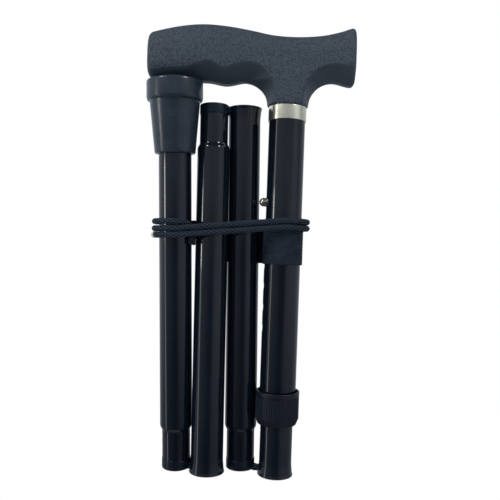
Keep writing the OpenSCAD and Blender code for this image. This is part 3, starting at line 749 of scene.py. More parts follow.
class CANE_OT_wrist_cord(bpy.types.Operator):
    """Winds the braided wrist cord round the folded bundle, with its crimp and its knot"""

    bl_idname = "cane.wrist_cord"
    bl_label = "Wrist cord"

    def execute(self, context):
        path, sizes = wrist_route(), context.scene.cane_sizes
        mesh = braid("wrist_braid", even(path, step=0.5), WRIST_R, sizes)
        cord = piece("wrist_braid", mesh, "shaft", "cord", ["wrist_cord"])
        mesh = braid("wrist_knot", even(knot_line(), step=0.4), COIL_CORD_R, sizes, 24)
        knot = piece("wrist_knot", mesh, "shaft", "cord", ["cord_knot"])
        crimp = piece("wrist_crimp", crimp_mesh(path), "shaft", "crimp", ["cord_crimp"])
        for p in (cord, knot, crimp):
            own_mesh(p)
        return {"FINISHED"}


# Elastic cord

# Roundings of the knots at the cord's two ends
KNOT_FOOT_ROUND, KNOT_TOP_ROUND = 1.2, 1.6


def fold_route(a, za, b, zb, up):
    """The elastic cord's line from section a's mouth into section b's spigot."""
    u = (on_axis(b, zb) - on_axis(a, za)).normalized()
    inside = CORD_IN - REST_GAP
    return [
        on_axis(a, za + up * inside),
        on_axis(a, za + up * BEND_HIGH),
        on_axis(a, za + up * BEND_MID) + BEND_OUT * u,
        on_axis(a, za + up * CROSS_Z) + BEND_FLAT * u,
        on_axis(b, zb + up * (CROSS_Z + END_DROP)) - BEND_FLAT * u,
        on_axis(b, zb + up * BEND_MID) - BEND_OUT * u,
        on_axis(b, zb + up * BEND_HIGH),
        on_axis(b, zb + up * inside),
    ]


class CANE_OT_elastic_cord(bpy.types.Operator):
    """Lays the elastic cord through the tubes and round the three folds"""

    bl_idname = "cane.elastic_cord"
    bl_label = "Elastic cord"

    def execute(self, context):
        sizes = context.scene.cane_sizes
        # Each fold: its two sections with their ends, the way into them, and where the bend gathers
        folds = [
            ("upper", 0, 0, 1, 0, 1, 1),
            ("middle", 1, SECTION_L, 2, SECTION_L, -1, 1),
            ("lower", 2, 0, 3, 0, 1, 2),
        ]
        for name, a, za, b, zb, up, keeper in folds:
            path = smooth_path(fold_route(a, za, b, zb, up), step=0.8)
            mesh = braid("bend", even(path, step=0.5), SHOCK_R, sizes)
            bend = piece(f"elastic_bend_{name}", mesh, f"bend_{name}", "cord", [f"cord_bend_{name}"])
            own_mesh(bend)
        # Each straight run: its section, its end, its body, and whether a knot ends it
        runs = [
            ("top", 0, ANCHOR_TOP, "adjuster", True),
            ("2", 1, SECTION_L - CORD_IN, "section_2", False),
            ("3", 2, SECTION_L - CORD_IN, "section_3", False),
            ("4", 3, TUBE_4_L - KNOT_R - REST_GAP, "section_4", True),
        ]
        knot = [(0, 0, 0), (KNOT_R, 0, KNOT_FOOT_ROUND), (KNOT_R, KNOT_R, KNOT_TOP_ROUND), (0, KNOT_R, 0)]
        for name, n, end, body, knotted in runs:
            bm = bmesh.new()
            swept(bm, even([on_axis(n, CORD_IN), on_axis(n, end)], step=0.6), SHOCK_R, sizes)
            if knotted:
                top = section_matrix(n) @ Matrix.Translation((0, 0, (end + SEAT) * MM))
                lathe(bm, rounded(knot), top, 24, closed=False)
            mesh = finish_mesh(bm, "run", CORD_SHARP)
            piece(f"elastic_run_{name}", mesh, body, "cord", [f"shock_cord_{name}"])
        return {"FINISHED"}


# Tubes, bushes and inner pieces

# The curl of a bell's rim, and the roundings of the bells and of the swaged shoulders, outside and inside
BELL_CURL, LIP_ROUND, BELL_ROUND, SHOULDER_ROUND, INNER_ROUND = 0.4, 2.0, 5.0, 3.0, 0.8
HOLE_ROOM, BUTTON_ROOM = 0.2, 0.1
BUSH_MOUTH_ROUND, BUSH_ROUND = 0.6, 0.7
BUTTON_FLANGE, BUTTON_EDGE, DOME_STEPS = 1, 0.25, 14
# The foot's step, then the grooves of the tread: their depth, width and inner radii
STEP_IN, STEP_H = 0.5, 1.6
TREAD_DEPTH, TREAD_W, TREAD_RADII = 0.8, 1.3, (11.5, 7.5, 3.5)
INNER_FINISH = {
    "spring_clip": "spring",
    "tip_washer": "spring",
    "cord_anchor": "plug",
    "cord_stop": "plug",
    "collet_bush": "bush",
}


def bell_corners(end, inward):
    """Corners of a bell, from a tube's bore to its outside; inward is 1 at a foot and -1 at a top."""
    rim = BELL_R + BELL_CURL
    return [
        (TUBE_BORE, end, EDGE), (rim, end, EDGE), (rim, end + inward * BELL_LIP / 4, EDGE),
        (BELL_R, end + inward * BELL_LIP, LIP_ROUND), (TUBE_R, end + inward * BELL_L, BELL_ROUND),
    ]


def section_corners(high, belled):
    """Corners of a section's tube: swaged spigot at the foot and, if belled, a bell at the top."""
    shoulder = SPIGOT_L - SHOULDER_L
    spigot = [
        (SPIGOT_BORE, BUSH_L, 0), (SPIGOT_R, BUSH_L, FINE_EDGE),
        (SPIGOT_R, shoulder, SHOULDER_ROUND), (TUBE_R, SPIGOT_L, SHOULDER_ROUND),
    ]
    plain = [(TUBE_R, high, FINE_EDGE), (TUBE_BORE, high, FINE_EDGE)]
    top = bell_corners(high, -1)[::-1] if belled else plain
    inner = [
        (TUBE_BORE, SPIGOT_L + TUBE_WALL, INNER_ROUND), (SPIGOT_BORE, shoulder + TUBE_WALL, INNER_ROUND)
    ]
    return spigot + top + inner


def button_way(z):
    """Frame at height z on the shaft's axis with +Z out through the button's hole."""
    return section_matrix(0) @ Matrix.Translation((0, 0, z * MM)) @ Matrix.Rotation(-math.pi / 2, 4, "Y")


class CANE_OT_tubes(bpy.types.Operator):
    """Turns the upper tube, the adjuster tube and the three folding sections"""

    bl_idname = "cane.tubes"
    bl_label = "Tubes"

    def execute(self, context):
        shaft, top = section_matrix(0), SHAFT_H + SOCKET_L - SEAT
        upper = turned("shaft_tube", sleeve(UPPER_BORE, UPPER_R, TUBE_END_Z, top, FINE_EDGE, EDGE), shaft)
        drills = [
            rod(BUTTON_R + HOLE_ROOM, UPPER_BORE - 2, UPPER_R + 1, button_way(BUTTON_Z - k * HOLE_PITCH))
            for k in range(HOLE_COUNT)
        ]
        piece("shaft_tube", cut_away(upper, drills), "shaft", "tube", ["upper_tube"])
        slot = rim_slot(0, turn_to(0, 1, CROSS_Z), 0, SLOT_H, BELL_R)
        hole = rod(BUTTON_R + BUTTON_ROOM, TUBE_BORE - 2, TUBE_R + 1, button_way(BUTTON_Z))
        corners = [*bell_corners(0, 1), (TUBE_R, ADJUSTER_TOP, EDGE), (TUBE_BORE, ADJUSTER_TOP, FINE_EDGE)]
        wall = cut_away(turned("adjuster_wall", corners, shaft), [slot, hole])
        piece("adjuster_wall", wall, "adjuster", "tube", ["adjuster_tube"])
        slot_2 = rim_slot(1, turn_to(1, 2, SECTION_L), SECTION_L, -SLOT_H, BELL_R)
        slot_3 = rim_slot(2, turn_to(2, 3, CROSS_Z), 0, SLOT_H, BELL_R)
        sections = [
            (2, section_corners(SECTION_L, True), section_matrix(1), [slot_2]),
            (3, section_corners(SECTION_L, True), upside_down(2, SECTION_L), [slot_3]),
            (4, section_corners(TUBE_4_L, False), section_matrix(3), []),
        ]
        for n, corners, base, slots in sections:
            wall = cut_away(turned(f"section_wall_{n}", corners, base), slots)
            piece(f"section_wall_{n}", wall, f"section_{n}", "tube", [f"tube_{n}"])
        return {"FINISHED"}


class CANE_OT_bushes(bpy.types.Operator):
    """Turns the three end bushes, with the slots that let the elastic cord out"""

    bl_idname = "cane.bushes"
    bl_label = "End bushes"

    def execute(self, context):
        top, plug_r, step = BUSH_L + PLUG_L, SPIGOT_BORE - SEAT, BUSH_L - SEAT
        corners = [
            (BUSH_BORE, 0, BUSH_MOUTH_ROUND), (BUSH_R, 0, BUSH_ROUND), (BUSH_R, step, EDGE),
            (plug_r, step, 0), (plug_r, top, EDGE), (BUSH_BORE, top, EDGE),
        ]
        for n in (1, 2, 3):
            inverted = n == 2
            base = upside_down(n, SECTION_L) if inverted else section_matrix(n)
            end, deep = (SECTION_L, -BEND_HIGH) if inverted else (0, BEND_HIGH)
            slot = rim_slot(n, turn_to(n, n - 1, end or CROSS_Z), end, deep, BUSH_R)
            name = f"bush_{n + 1}"
            mesh = cut_away(turned(name, corners, base, 72), [slot])
            piece(name, mesh, f"section_{n + 1}", "bush", [f"end_{name}"])
        return {"FINISHED"}


class CANE_OT_inner_pieces(bpy.types.Operator):
    """Gives the clip, the plugs, the washer and the collet their finishes"""

    bl_idname = "cane.inner_pieces"
    bl_label = "Inner pieces"

    def execute(self, context):
        for name, finish in INNER_FINISH.items():
            node = frame["nodes"][name]
            if not node.material_slots:
                node.data.materials.append(FINISH[finish])
            for place in node.material_slots:
                place.material = FINISH[finish]
        return {"FINISHED"}


class CANE_OT_collar(bpy.types.Operator):
    """Turns the plated collar under the handle"""

    bl_idname = "cane.collar"
    bl_label = "Collar"

    def execute(self, context):
        inner, high = UPPER_R + SEAT, SHAFT_H - SEAT
        corners = sleeve(inner, inner + BAND_WALL, high - BAND_H, high, 0, EDGE)
        mesh = turned("collar", corners, section_matrix(0), 128)
        piece("collar", mesh, "shaft", "band", ["collar_band"])
        return {"FINISHED"}


class CANE_OT_button(bpy.types.Operator):
    """Turns the snap button with its domed end"""

    bl_idname = "cane.button"
    bl_label = "Snap button"

    def execute(self, context):
        head, back, front = BUTTON_R + BUTTON_FLANGE, BUTTON_BACK, BUTTON_BACK + BUTTON_FLANGE
        flange = rounded([(head, back, BUTTON_EDGE), (head, front, BUTTON_EDGE), (BUTTON_R, front, 0)])
        shoulder = BUTTON_TIP - BUTTON_R
        dome = [
            (BUTTON_R * math.cos(a), shoulder + BUTTON_R * math.sin(a))
            for a in (math.pi / 2 * k / DOME_STEPS for k in range(DOME_STEPS))
        ]
        bm = bmesh.new()
        lathe(bm, [(0, back), *flange, *dome, (0, BUTTON_TIP)], button_way(BUTTON_Z), 64, closed=False)
        piece("button_dome", finish_mesh(bm, "button_dome"), "button", "button", ["snap_button"])
        return {"FINISHED"}


class CANE_OT_tip(bpy.types.Operator):
    """Turns the rubber tip with its stepped foot and ringed tread"""

    bl_idname = "cane.tip"
    bl_label = "Rubber tip"

    def execute(self, context):
        mouth, step, end, bore = TIP_END - TIP_H, TIP_END - TIP_FOOT_H, TIP_END, TUBE_R + SEAT
        corners = [
            (0, end - TIP_FLOOR, 0), (bore, end - TIP_FLOOR, 0.4), (bore, mouth, 0.5),
            (TIP_MOUTH_R, mouth, 1.3), (TIP_TOP_R, step, 0.8), (TIP_FOOT_R - STEP_IN, step, 0.7),
            (TIP_FOOT_R, step + STEP_H, 1.2), (TIP_FOOT_R, end, 1.6),
        ]
        for r in TREAD_RADII:
            groove = [(r + TREAD_W, end), (r + TREAD_W, end - TREAD_DEPTH), (r, end - TREAD_DEPTH), (r, end)]
            corners += [(*corner, FINE_EDGE) for corner in groove]
        corners.append((0, end, 0))
        mesh = turned("tip_foot", corners, section_matrix(3), closed=False, sharp=TIP_SHARP)
        piece("tip_foot", mesh, "section_4", "tip", ["rubber_tip"])
        return {"FINISHED"}


# What repeats: ribs of the ring, stitches of the strap

# How far the ribs stand out and the rim past them, and the groove between them
RIB_STAND, RIM_STAND, GROOVE_W, GROOVE_DEPTH = 0.35, 0.05, 0.7, 0.25
# How far the upright ribs reach over the cone, where the cone's own ribs start, and how deep these lie
RIB_OVERLAP, CONE_RIB_FOOT, CONE_RIB_SINK = 0.4, 0.5, 0.05


def repeat_tree(name, sockets):
    """A new geometry tree with named inputs, their sockets and its output node."""
    return group(name, {"Geometry": GEOMETRY, **sockets}, {"Geometry": GEOMETRY}, "GeometryNodeTree")


def realized(tree, instances, finish, out):
    """Ends a tree: plain geometry with its finish."""
    plain = add(tree, "GeometryNodeRealizeInstances", Geometry=instances).outputs["Geometry"]
    dressed = add(tree, "GeometryNodeSetMaterial", Geometry=plain, Material=finish).outputs["Geometry"]
    fill(tree, out, Geometry=dressed)


def vector_maths(tree, operation, **sockets):
    """The vector of a Vector Math node."""
    return add(tree, "ShaderNodeVectorMath", {"operation": operation}, **sockets).outputs[0]


def ring_rib_tree():
    """Round ribs, evenly round a circle, upright or leaning out by a slope."""
    tree, i, out = repeat_tree("Ring ribs", {
        "Count": INT, "Radius": FLOAT, "Rib radius": FLOAT, "Height": FLOAT, "Lean": FLOAT,
        "Centre": VECTOR, "Finish": STUFF,
    })
    circle = add(tree, "GeometryNodeMeshCircle", Vertices=i["Count"], Radius=i["Radius"])
    rib = add(tree, "GeometryNodeMeshCylinder", Vertices=12, Radius=i["Rib radius"], Depth=i["Height"])
    outward = vector_maths(tree, "NORMALIZE", _0=add(tree, "GeometryNodeInputPosition").outputs[0])
    lean = vector_maths(tree, "SCALE", _0=outward, Scale=i["Lean"])
    way = vector_maths(tree, "ADD", _0=lean, _1=(0, 0, 1))
    turn = add(tree, "FunctionNodeAlignRotationToVector", {"axis": "Z"}, Vector=way).outputs["Rotation"]
    around = add(
        tree, "GeometryNodeInstanceOnPoints", Points=circle.outputs["Mesh"], Instance=rib.outputs["Mesh"],
        Rotation=turn,
    )
    moved = add(
        tree, "GeometryNodeTransform", Geometry=around.outputs["Instances"], Translation=i["Centre"]
    )
    realized(tree, moved.outputs["Geometry"], i["Finish"], out)
    return tree


def stitch_tree():
    """Stitches in a row: long beads along a line."""
    tree, i, out = repeat_tree("Stitches", {
        "Count": INT, "First": VECTOR, "Step": VECTOR, "Bead": VECTOR, "Finish": STUFF,
    })
    line = add(
        tree, "GeometryNodeMeshLine", Count=i["Count"], Start_Location=i["First"], Offset=i["Step"]
    ).outputs["Mesh"]
    bead = add(tree, "GeometryNodeMeshUVSphere", Segments=10, Rings=8, Radius=1.0).outputs["Mesh"]
    row = add(tree, "GeometryNodeInstanceOnPoints", Points=line, Instance=bead, Scale=i["Bead"])
    realized(tree, row.outputs["Instances"], i["Finish"], out)
    return tree


def repeated(tree, name, values):
    """The plain mesh that a tree makes from named values."""
    obj = bpy.data.objects.new(name, bpy.data.meshes.new(name))
    bpy.context.scene.collection.objects.link(obj)
    made = obj.modifiers.new("repeat", "NODES")
    made.node_group = tree
    for item in tree.interface.items_tree:
        if item.in_out == "INPUT" and item.name in values:
            made[item.identifier] = values[item.name]
    obj.update_tag()
    bpy.context.view_layer.update()
    return shaded(evaluated(obj, name))


class CANE_OT_ring(bpy.types.Operator):
    """Turns the locking ring and sets its ribs"""

    bl_idname = "cane.ring"
    bl_label = "Locking ring"

    def execute(self, context):
        s = context.scene.cane_sizes
        low, top = RING_Z, RING_Z + RING_H
        barrel, rim, groove = RING_R - RIB_STAND, RING_R + RIM_STAND, RING_R - RIB_STAND - GROOVE_DEPTH
        cone_top, rim_low, ledge = low + RING_CONE_H, top - RING_RIM_H, low + RING_LEDGE
        rib_top = rim_low - GROOVE_W
        corners = [
            (RING_THROAT, low, 0.3), (RING_LIP_R, low, 0.5), (barrel, cone_top, 1.2), (barrel, rib_top, 0.1),
            (groove, rib_top, 0.1), (groove, rim_low, 0.1), (rim, rim_low, 0.2), (rim, top, 0.9),
            (RING_BORE, top, 0.4), (RING_BORE, ledge, 0), (RING_THROAT, ledge, 0.2),
        ]
        mesh = turned("ring_body", corners, section_matrix(0), 144)
        piece("ring_body", mesh, "ring", "ring", ["lock_ring"])
        radius = s.rib_width / 2 / MM
        lean = (barrel - RING_LIP_R) / RING_CONE_H
        on_cone = (barrel + RING_LIP_R) / 2 - CONE_RIB_SINK
        tree = ring_rib_tree()
        rows = {
            "ring_ribs": (cone_top - RIB_OVERLAP, rib_top, RING_R - radius, 0.0),
            "cone_ribs": (low + CONE_RIB_FOOT, cone_top, on_cone, lean),
        }
        for name, (start, end, out, slope) in rows.items():
            ribs = repeated(tree, name, {
                "Count": s.rib_count, "Radius": out * MM, "Rib radius": radius * MM,
                "Height": (end - start) * MM, "Lean": slope,
                "Centre": Vector((SHAFT.x, SHAFT.y, (start + end) / 2)) * MM, "Finish": FINISH["ring"],
            })
            piece(name, ribs, "ring", "ring")
        return {"FINISHED"}


# Strap

LOOP_STEPS, TAIL_STEP = 120, 1.2
# The webbing: levels in each rib, and the width and the loss of its thinner edges
RIB_LEVELS, WEB_EDGE, WEB_THIN = 6, 0.5, 0.3
# Where the tail's line bends, as shares of its way from the loop to section two and on to section three
TAIL_ROOT_BENDS, TAIL_BENDS = (0.5, 0.85), (0.15, 0.6)
# The tail's folded end, in metres: where it starts past section three, and its run; then the share it rises
FOLD_PAST, FOLD_RUN, FOLD_RISE = 0.004, 0.006, 0.5
# The two rows of stitches, as points of the tail's line, and a stitch's width and height in metres
STITCH_ROWS, STITCH_W, STITCH_H = (6, 10), 0.0004, 0.00022


def web_outline(ribs, depth):
    """Outline across the webbing, up one face and down the other: (height, distance from its middle)."""
    levels = ribs * RIB_LEVELS
    profile = []
    for j in range(levels + 1):
        z = STRAP_W * j / levels
        wave = depth * (0.5 + 0.5 * math.cos(2 * math.pi * ribs * j / levels))
        thin = WEB_THIN * max(0.0, 1 - min(z, STRAP_W - z) / WEB_EDGE)
        profile.append((z, STRAP_T / 2 - wave - thin))
    return profile + [(z, -t) for z, t in reversed(profile)]


def webbing(bm, line, closed, outline):
    """A ribbed band along a flat line of (place, outward) pairs, in millimetres."""
    uv = bm.loops.layers.uv.verify()
    columns, run = [], 0.0
    for k, (p, n) in enumerate(line):
        if k:
            run += (p - line[k - 1][0]).length * MM
        column = [Vector((p.x + n.x * t, p.y + n.y * t, STRAP_Z + z)) * MM for z, t in outline]
        columns.append(([bm.verts.new(v) for v in column], run))
    count = len(outline)
    whole = run + ((line[0][0] - line[-1][0]).length * MM if closed else 0)
    for k in range(len(columns) if closed else len(columns) - 1):
        (a, ua), (b, ub) = columns[k], columns[(k + 1) % len(columns)]
        ub = ub if ub > ua else whole
        for j in range(count):
            m = (j + 1) % count
            face = bm.faces.new([a[j], a[m], b[m], b[j]])
            for loop, u, jj in zip(face.loops, (ua, ua, ub, ub), (j, m, m, j)):
                loop[uv].uv = (outline[jj][0] * MM, u)
    if not closed:
        bm.faces.new(columns[0][0])
        bm.faces.new(columns[-1][0])


class CANE_OT_strap(bpy.types.Operator):
    """Makes the webbing strap: a loop round the upper tube, a tail behind the sections, and its stitches"""

    bl_idname = "cane.strap"
    bl_label = "Strap"

    def execute(self, context):
        s = context.scene.cane_sizes
        outline = web_outline(s.web_ribs, s.web_rib_depth / MM)
        mid = STRAP_IN + STRAP_T / 2
        ways = [2 * math.pi * k / LOOP_STEPS for k in range(LOOP_STEPS)]
        ways = [Vector((math.cos(a), math.sin(a))) for a in ways]
        bm = bmesh.new()
        webbing(bm, [(SHAFT + mid * way, way) for way in ways], True, outline)
        piece("strap_loop", finish_mesh(bm, "strap_loop", STRAP_SHARP), "shaft", "webbing", ["strap_band"])

        level = STRAP_Z + STRAP_W / 2
        lift = Vector((0, TUBE_R + TAIL_STAND + STRAP_T / 2))
        tail_a, tail_b = on_axis(1, level).to_2d() + lift, on_axis(2, level).to_2d() + lift
        tail_c = tail_b + TAIL_PAST * (tail_b - tail_a).normalized()
        root = SHAFT + Vector((0, mid))
        bends = [
            root, *(root.lerp(tail_a, t) for t in TAIL_ROOT_BENDS),
            *(tail_a.lerp(tail_b, t) for t in TAIL_BENDS), tail_b, tail_c,
        ]
        points = [p.to_2d() for p in smooth_path([p.to_3d() for p in bends], TAIL_STEP)]
        line = []
        for k, p in enumerate(points):
            d = (points[min(k + 1, len(points) - 1)] - points[max(k - 1, 0)]).normalized()
            line.append((p, Vector((d.y, -d.x))))
        bm = bmesh.new()
        webbing(bm, line, False, outline)
        fold_start, top = tail_b.x * MM - FOLD_PAST, (STRAP_Z + STRAP_W) * MM
        for v in bm.verts:
            share = unit((fold_start - v.co.x) / FOLD_RUN)
            v.co.z += (top - v.co.z) * FOLD_RISE * share * share * (3 - 2 * share)
        mesh = finish_mesh(bm, "strap_tail", STRAP_SHARP)
        tail = piece("strap_tail", mesh, "shaft", "webbing", ["strap_band"])

        tree = stitch_tree()
        gap = STRAP_W * MM / (s.stitch_count + 1)
        for n, at in enumerate(STITCH_ROWS):
            p, way = line[at]
            out = p + (way if way.y > 0 else -way) * STRAP_T / 2
            first = Vector((out.x, out.y, STRAP_Z)) * MM + Vector((0, 0, gap))
            row = repeated(tree, f"strap_stitches_{n}", {
                "Count": s.stitch_count, "First": first, "Step": (0, 0, gap),
                "Bead": (STITCH_W, STITCH_H, s.stitch_length / 2), "Finish": FINISH["cord"],
            })
            stitches = piece(f"strap_stitches_{n}", row, "shaft", "webbing", finish="cord")
            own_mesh(stitches)
        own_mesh(tail)
        return {"FINISHED"}


# Handle

HANDLE_L, NOSE, HANDLE_H, HANDLE_W, END_R, NECK_R = 124.2, 84.6, 49.2, 27.0, 3.0, 12.3
HANDLE_RINGS, HANDLE_LEVELS = 220, 44
# Its top, underside and width along its length, each as a share
TOP_SHARES = [
    (0, 0.85), (0.14, 0.935), (0.256, 0.969), (0.372, 0.957), (0.488, 0.914), (0.605, 0.861),
    (0.72, 0.851), (0.837, 0.88), (0.923, 0.936), (0.98, 0.992), (1, 1.01),
]
UNDER_SHARES = [
    (0, 0.3), (0.137, 0.272), (0.295, 0.278), (0.382, 0.248), (0.463, 0.289), (0.528, 0.305),
    (0.679, 0.34), (0.839, 0.316), (0.903, 0.319), (0.961, 0.285), (1, 0.268),
]
WIDTH_SHARES = [(0, 0.8), (0.14, 0.92), (0.3, 1), (0.5, 0.98), (0.68, 0.95), (0.85, 0.9), (1, 0.74)]
# The neck's spread and rise, towards the nose and towards the heel
NECK_SPREAD = (16.0, 15.5)
NECK_RISE = (0.288 * HANDLE_H, 0.316 * HANDLE_H)
UPPER_POWER, LOWER_POWER, BLEND_POWER = 2.4, 3.0, 4.0
# The flank turns under along a crease that waves with the fingers: its height as shares, then the width left
# below it, the curve of its fall and the least height that counts
CREASE_SHARES = [
    (0, 0.1), (0.118, 0.165), (0.19, 0.18), (0.25, 0.24), (0.31, 0.28), (0.355, 0.21), (0.39, 0.23),
    (0.426, 0.26), (0.485, 0.28), (0.54, 0.27), (0.675, 0.25), (0.8, 0.28), (0.91, 0.29), (1, 0.29),
]
UNDER_WIDTH_SHARE, UNDER_POWER, CREASE_LEAST = 0.2, 0.75, 0.05
# The neck's front is flatter than an ellipse as far as its own crease, and its flanks fall straight from it.
# The crease's distance from the shaft's axis goes by height above the collar. It has a most, as a share of
# the neck's reach, and a height over which it sets in
NECK_POWER = 2.5
NECK_CREASE = [(0, 8.2), (10, 9.4), (16, 12.0), (20, 16.0), (23, 21.5), (26, 30)]
NECK_CREASE_MOST, NECK_CREASE_RISE = 0.98, 3.0
# The grain ends a little over the creases: where, as a share, and over what share and what width at the neck
GRAIN_END, GRAIN_BLEND, NECK_GRAIN_BLEND = 1.04, 0.1, 1.2


def curve_at(points, x):
    """A smooth curve through points (x, y), at x."""
    i = 0
    while i < len(points) - 2 and x >= points[i + 1][0]:
        i += 1

    def slope(k):
        a, b = max(k - 1, 0), min(k + 1, len(points) - 1)
        return (points[b][1] - points[a][1]) / (points[b][0] - points[a][0])

    h = points[i + 1][0] - points[i][0]
    t = (x - points[i][0]) / h
    t2, t3 = t * t, t**3
    return (
        (2 * t3 - 3 * t2 + 1) * points[i][1] + (t3 - 2 * t2 + t) * h * slope(i)
        + (3 * t2 - 2 * t3) * points[i + 1][1] + (t3 - t2) * h * slope(i + 1)
    )


def neck_side(x):
    """The neck's spread and rise on x's side of the shaft's axis."""
    side = 0 if x < 0 else 1
    return NECK_SPREAD[side], NECK_RISE[side]


def neck_crease(z):
    """How far the neck's crease lies from the shaft's axis at height z."""
    return curve_at(NECK_CREASE, min(z, NECK_CREASE[-1][0]))


def flank_share(x, z):
    """Height z as a share of the way from the handle's underside at x to the crease."""
    share = (x + NOSE) / HANDLE_L
    top, under = (HANDLE_H * curve_at(shares, share) for shares in (TOP_SHARES, UNDER_SHARES))
    return max(z - under, 0.0) / (top - under) / max(curve_at(CREASE_SHARES, share), CREASE_LEAST)


def smoothness(x, z):
    """How smooth the moulding is at a place on the handle: 1 under the creases, 0 where it is grained. The
    grip's finish also darkens it there as painted shade.
    """
    below = unit((GRAIN_END - flank_share(x, z)) / GRAIN_BLEND)
    beside = unit((abs(x) - neck_crease(z)) / NECK_GRAIN_BLEND + 0.5)
    return below * beside


def neck_width(x, z):
    """Half width of the neck at a place, as a share of its widest."""
    spread, rise = neck_side(x)
    t = unit(z / rise)
    reach = NECK_R + spread * (1 - math.sqrt(1 - t * t))
    out, bend = abs(x) / reach, min(neck_crease(z) / reach, NECK_CREASE_MOST)
    if out >= 1:
        return 0.0
    creased = (1 - min(out, bend) ** NECK_POWER) ** (1 / NECK_POWER) * min((1 - out) / (1 - bend), 1)
    t = unit(z / NECK_CREASE_RISE)
    return creased * t + math.sqrt(1 - out * out) * (1 - t)


def handle_ring(x, levels):
    """One side of the handle's section at x: (half width, height) from its lowest point to its top."""
    share = (x + NOSE) / HANDLE_L
    q = 1 - min(min(x + NOSE, HANDLE_L - NOSE - x) / END_R, 1)
    inset = END_R * (1 - math.sqrt(max(0.0, 1 - q * q)))
    top = HANDLE_H * curve_at(TOP_SHARES, share) - inset
    under = HANDLE_H * curve_at(UNDER_SHARES, share) + inset
    full = HANDLE_W / 2 * curve_at(WIDTH_SHARES, share) - inset
    spread, rise = neck_side(x)
    flank = (abs(x) - NECK_R) / spread
    if abs(x) <= NECK_R:
        low = 0.0
    elif flank >= 1:
        low = under
    else:
        low = min(under, rise * math.sqrt(1 - (1 - flank) ** 2))

    def half(z):
        qb = abs(2 * z - under - top) / (top - under)
        power = LOWER_POWER if 2 * z < under + top else UPPER_POWER
        body = 0.0 if qb >= 1 else full * (1 - qb**power) ** (1 / power)
        fall = flank_share(x, z) ** UNDER_POWER
        body = min(body, full * (UNDER_WIDTH_SHARE + (1 - UNDER_WIDTH_SHARE) * fall))
        neck = (NECK_R + (full - NECK_R) * unit(z / rise)) * neck_width(x, z)
        if z > (under + top) / 2 or neck == 0:
            return body
        return min((body**BLEND_POWER + neck**BLEND_POWER) ** (1 / BLEND_POWER), max(full, neck))

    flat = abs(x) < NECK_R
    ring = []
    for j in range(levels + 1):
        t = max(j - 1, 0) / (levels - 1) if flat else j / levels
        z = low + (top - low) * (1 - math.cos(math.pi * t)) / 2
        ring.append((0.0 if j in (0, levels) else half(z), z))
    return ring


class CANE_OT_handle(bpy.types.Operator):
    """Lofts the handle, smooths it and marks where it has no grain and where its finish paints shade"""

    bl_idname = "cane.handle"
    bl_label = "Handle"

    def execute(self, context):
        bm = bmesh.new()
        base = section_matrix(0) @ Matrix.Translation((0, 0, SHAFT_H * MM))
        loops = []
        for k in range(HANDLE_RINGS + 1):
            t = k / HANDLE_RINGS
            d = HANDLE_L * t - END_R * math.sin(2 * math.pi * t) / 2
            x = min(max(d, SEAT), HANDLE_L - SEAT) - NOSE
            ring = handle_ring(x, HANDLE_LEVELS)
            around = ring + [(-y, z) for y, z in reversed(ring[1:-1])]
            loops.append([bm.verts.new(base @ (Vector((x, y, z)) * MM)) for y, z in around])
        for low, high in zip(loops, loops[1:]):
            for k in range(len(low)):
                m = (k + 1) % len(low)
                bm.faces.new([low[k], low[m], high[m], high[k]])
        bm.faces.new(loops[0])
        bm.faces.new(loops[-1])
        work = bpy.data.objects.new("grip_work", finish_mesh(bm, "grip_work"))
        context.scene.collection.objects.link(work)
        remesh = work.modifiers.new("even", "REMESH")
        remesh.mode, remesh.use_smooth_shade = "VOXEL", True
        remesh.voxel_size = context.scene.cane_sizes.grip_voxel
        soft = work.modifiers.new("soft", "SMOOTH")
        soft.factor, soft.iterations = 0.5, 4
        mesh = evaluated(work, "grip")
        mesh.shade_smooth()
        back = base.inverted()
        # This mark also tells the grip's finish where to paint shade under the handle
        smooth = mesh.attributes.new("smooth_moulding", "FLOAT", "POINT")
        for v, d in zip(mesh.vertices, smooth.data):
            at = back @ v.co / MM
            d.value = smoothness(at.x, at.z)
        piece("grip", mesh, "shaft", "handle", ["handle_grip"])
        return {"FINISHED"}


# Stage

FOCAL_PX, FRAME_PX, SENSOR = 587.0, 500.0, 36.0
CAMERA_BACK = 0.355
AIM = (2.84, 134.6)
ROLL = math.radians(2.02)
CLIP = (0.01, 50.0)
# Half the floor's side and its grey, then where it fades, what it takes from the white and what it adds
FLOOR_FAR, FLOOR_GREY = 4.0, (0.86, 0.86, 0.86, 1)
FLOOR_FADE, FLOOR_TAKES, FLOOR_ADDS = (0.1, 0.3), 0.07, 0.035
# The world's light from straight below to straight above, then its reflection's dark foot and its level
SKY_LIGHT, SKY_FOOT, SKY_FOOT_LEVEL = (0.3, 0.75), (-0.75, -0.35), 0.12
# The card that reflections see: its steps, radius, foot and top in metres, and its tint
CARD_STEPS, CARD_R, CARD_FOOT, CARD_TOP = 90, 1.2, -2.6, 6.0
CARD_TINT = (0.9, 1.0, 1.1, 1)
# Heights in metres where the card goes from its low to its high levels, fades in and fades out
CARD_RISE, CARD_FOOT_FADE, CARD_TOP_FADE = (0.0, 0.45), (-0.5, 0.0), (0.7, 1.5)
CARD_FOOT_LEVEL, CARD_TOP_LEVEL = 0.4, 0.3
# Levels of the card, by bearing in degrees from the camera's side
CARD_LOW = [
    (-180, 0.6), (-150, 0.75), (-80, 0.6), (-62, 0.32), (-30, 0.2), (-8, 0.08), (6, 0.06), (16, 0.12),
    (32, 0.42), (60, 0.5), (90, 0.45), (150, 0.55), (180, 0.6),
]
CARD_HIGH = [
    (-180, 0.6), (-150, 0.8), (-80, 0.6), (-50, 0.44), (0, 0.36), (30, 0.38), (58, 0.62), (74, 0.5),
    (88, 0.28), (105, 0.4), (150, 0.55), (180, 0.6),
]
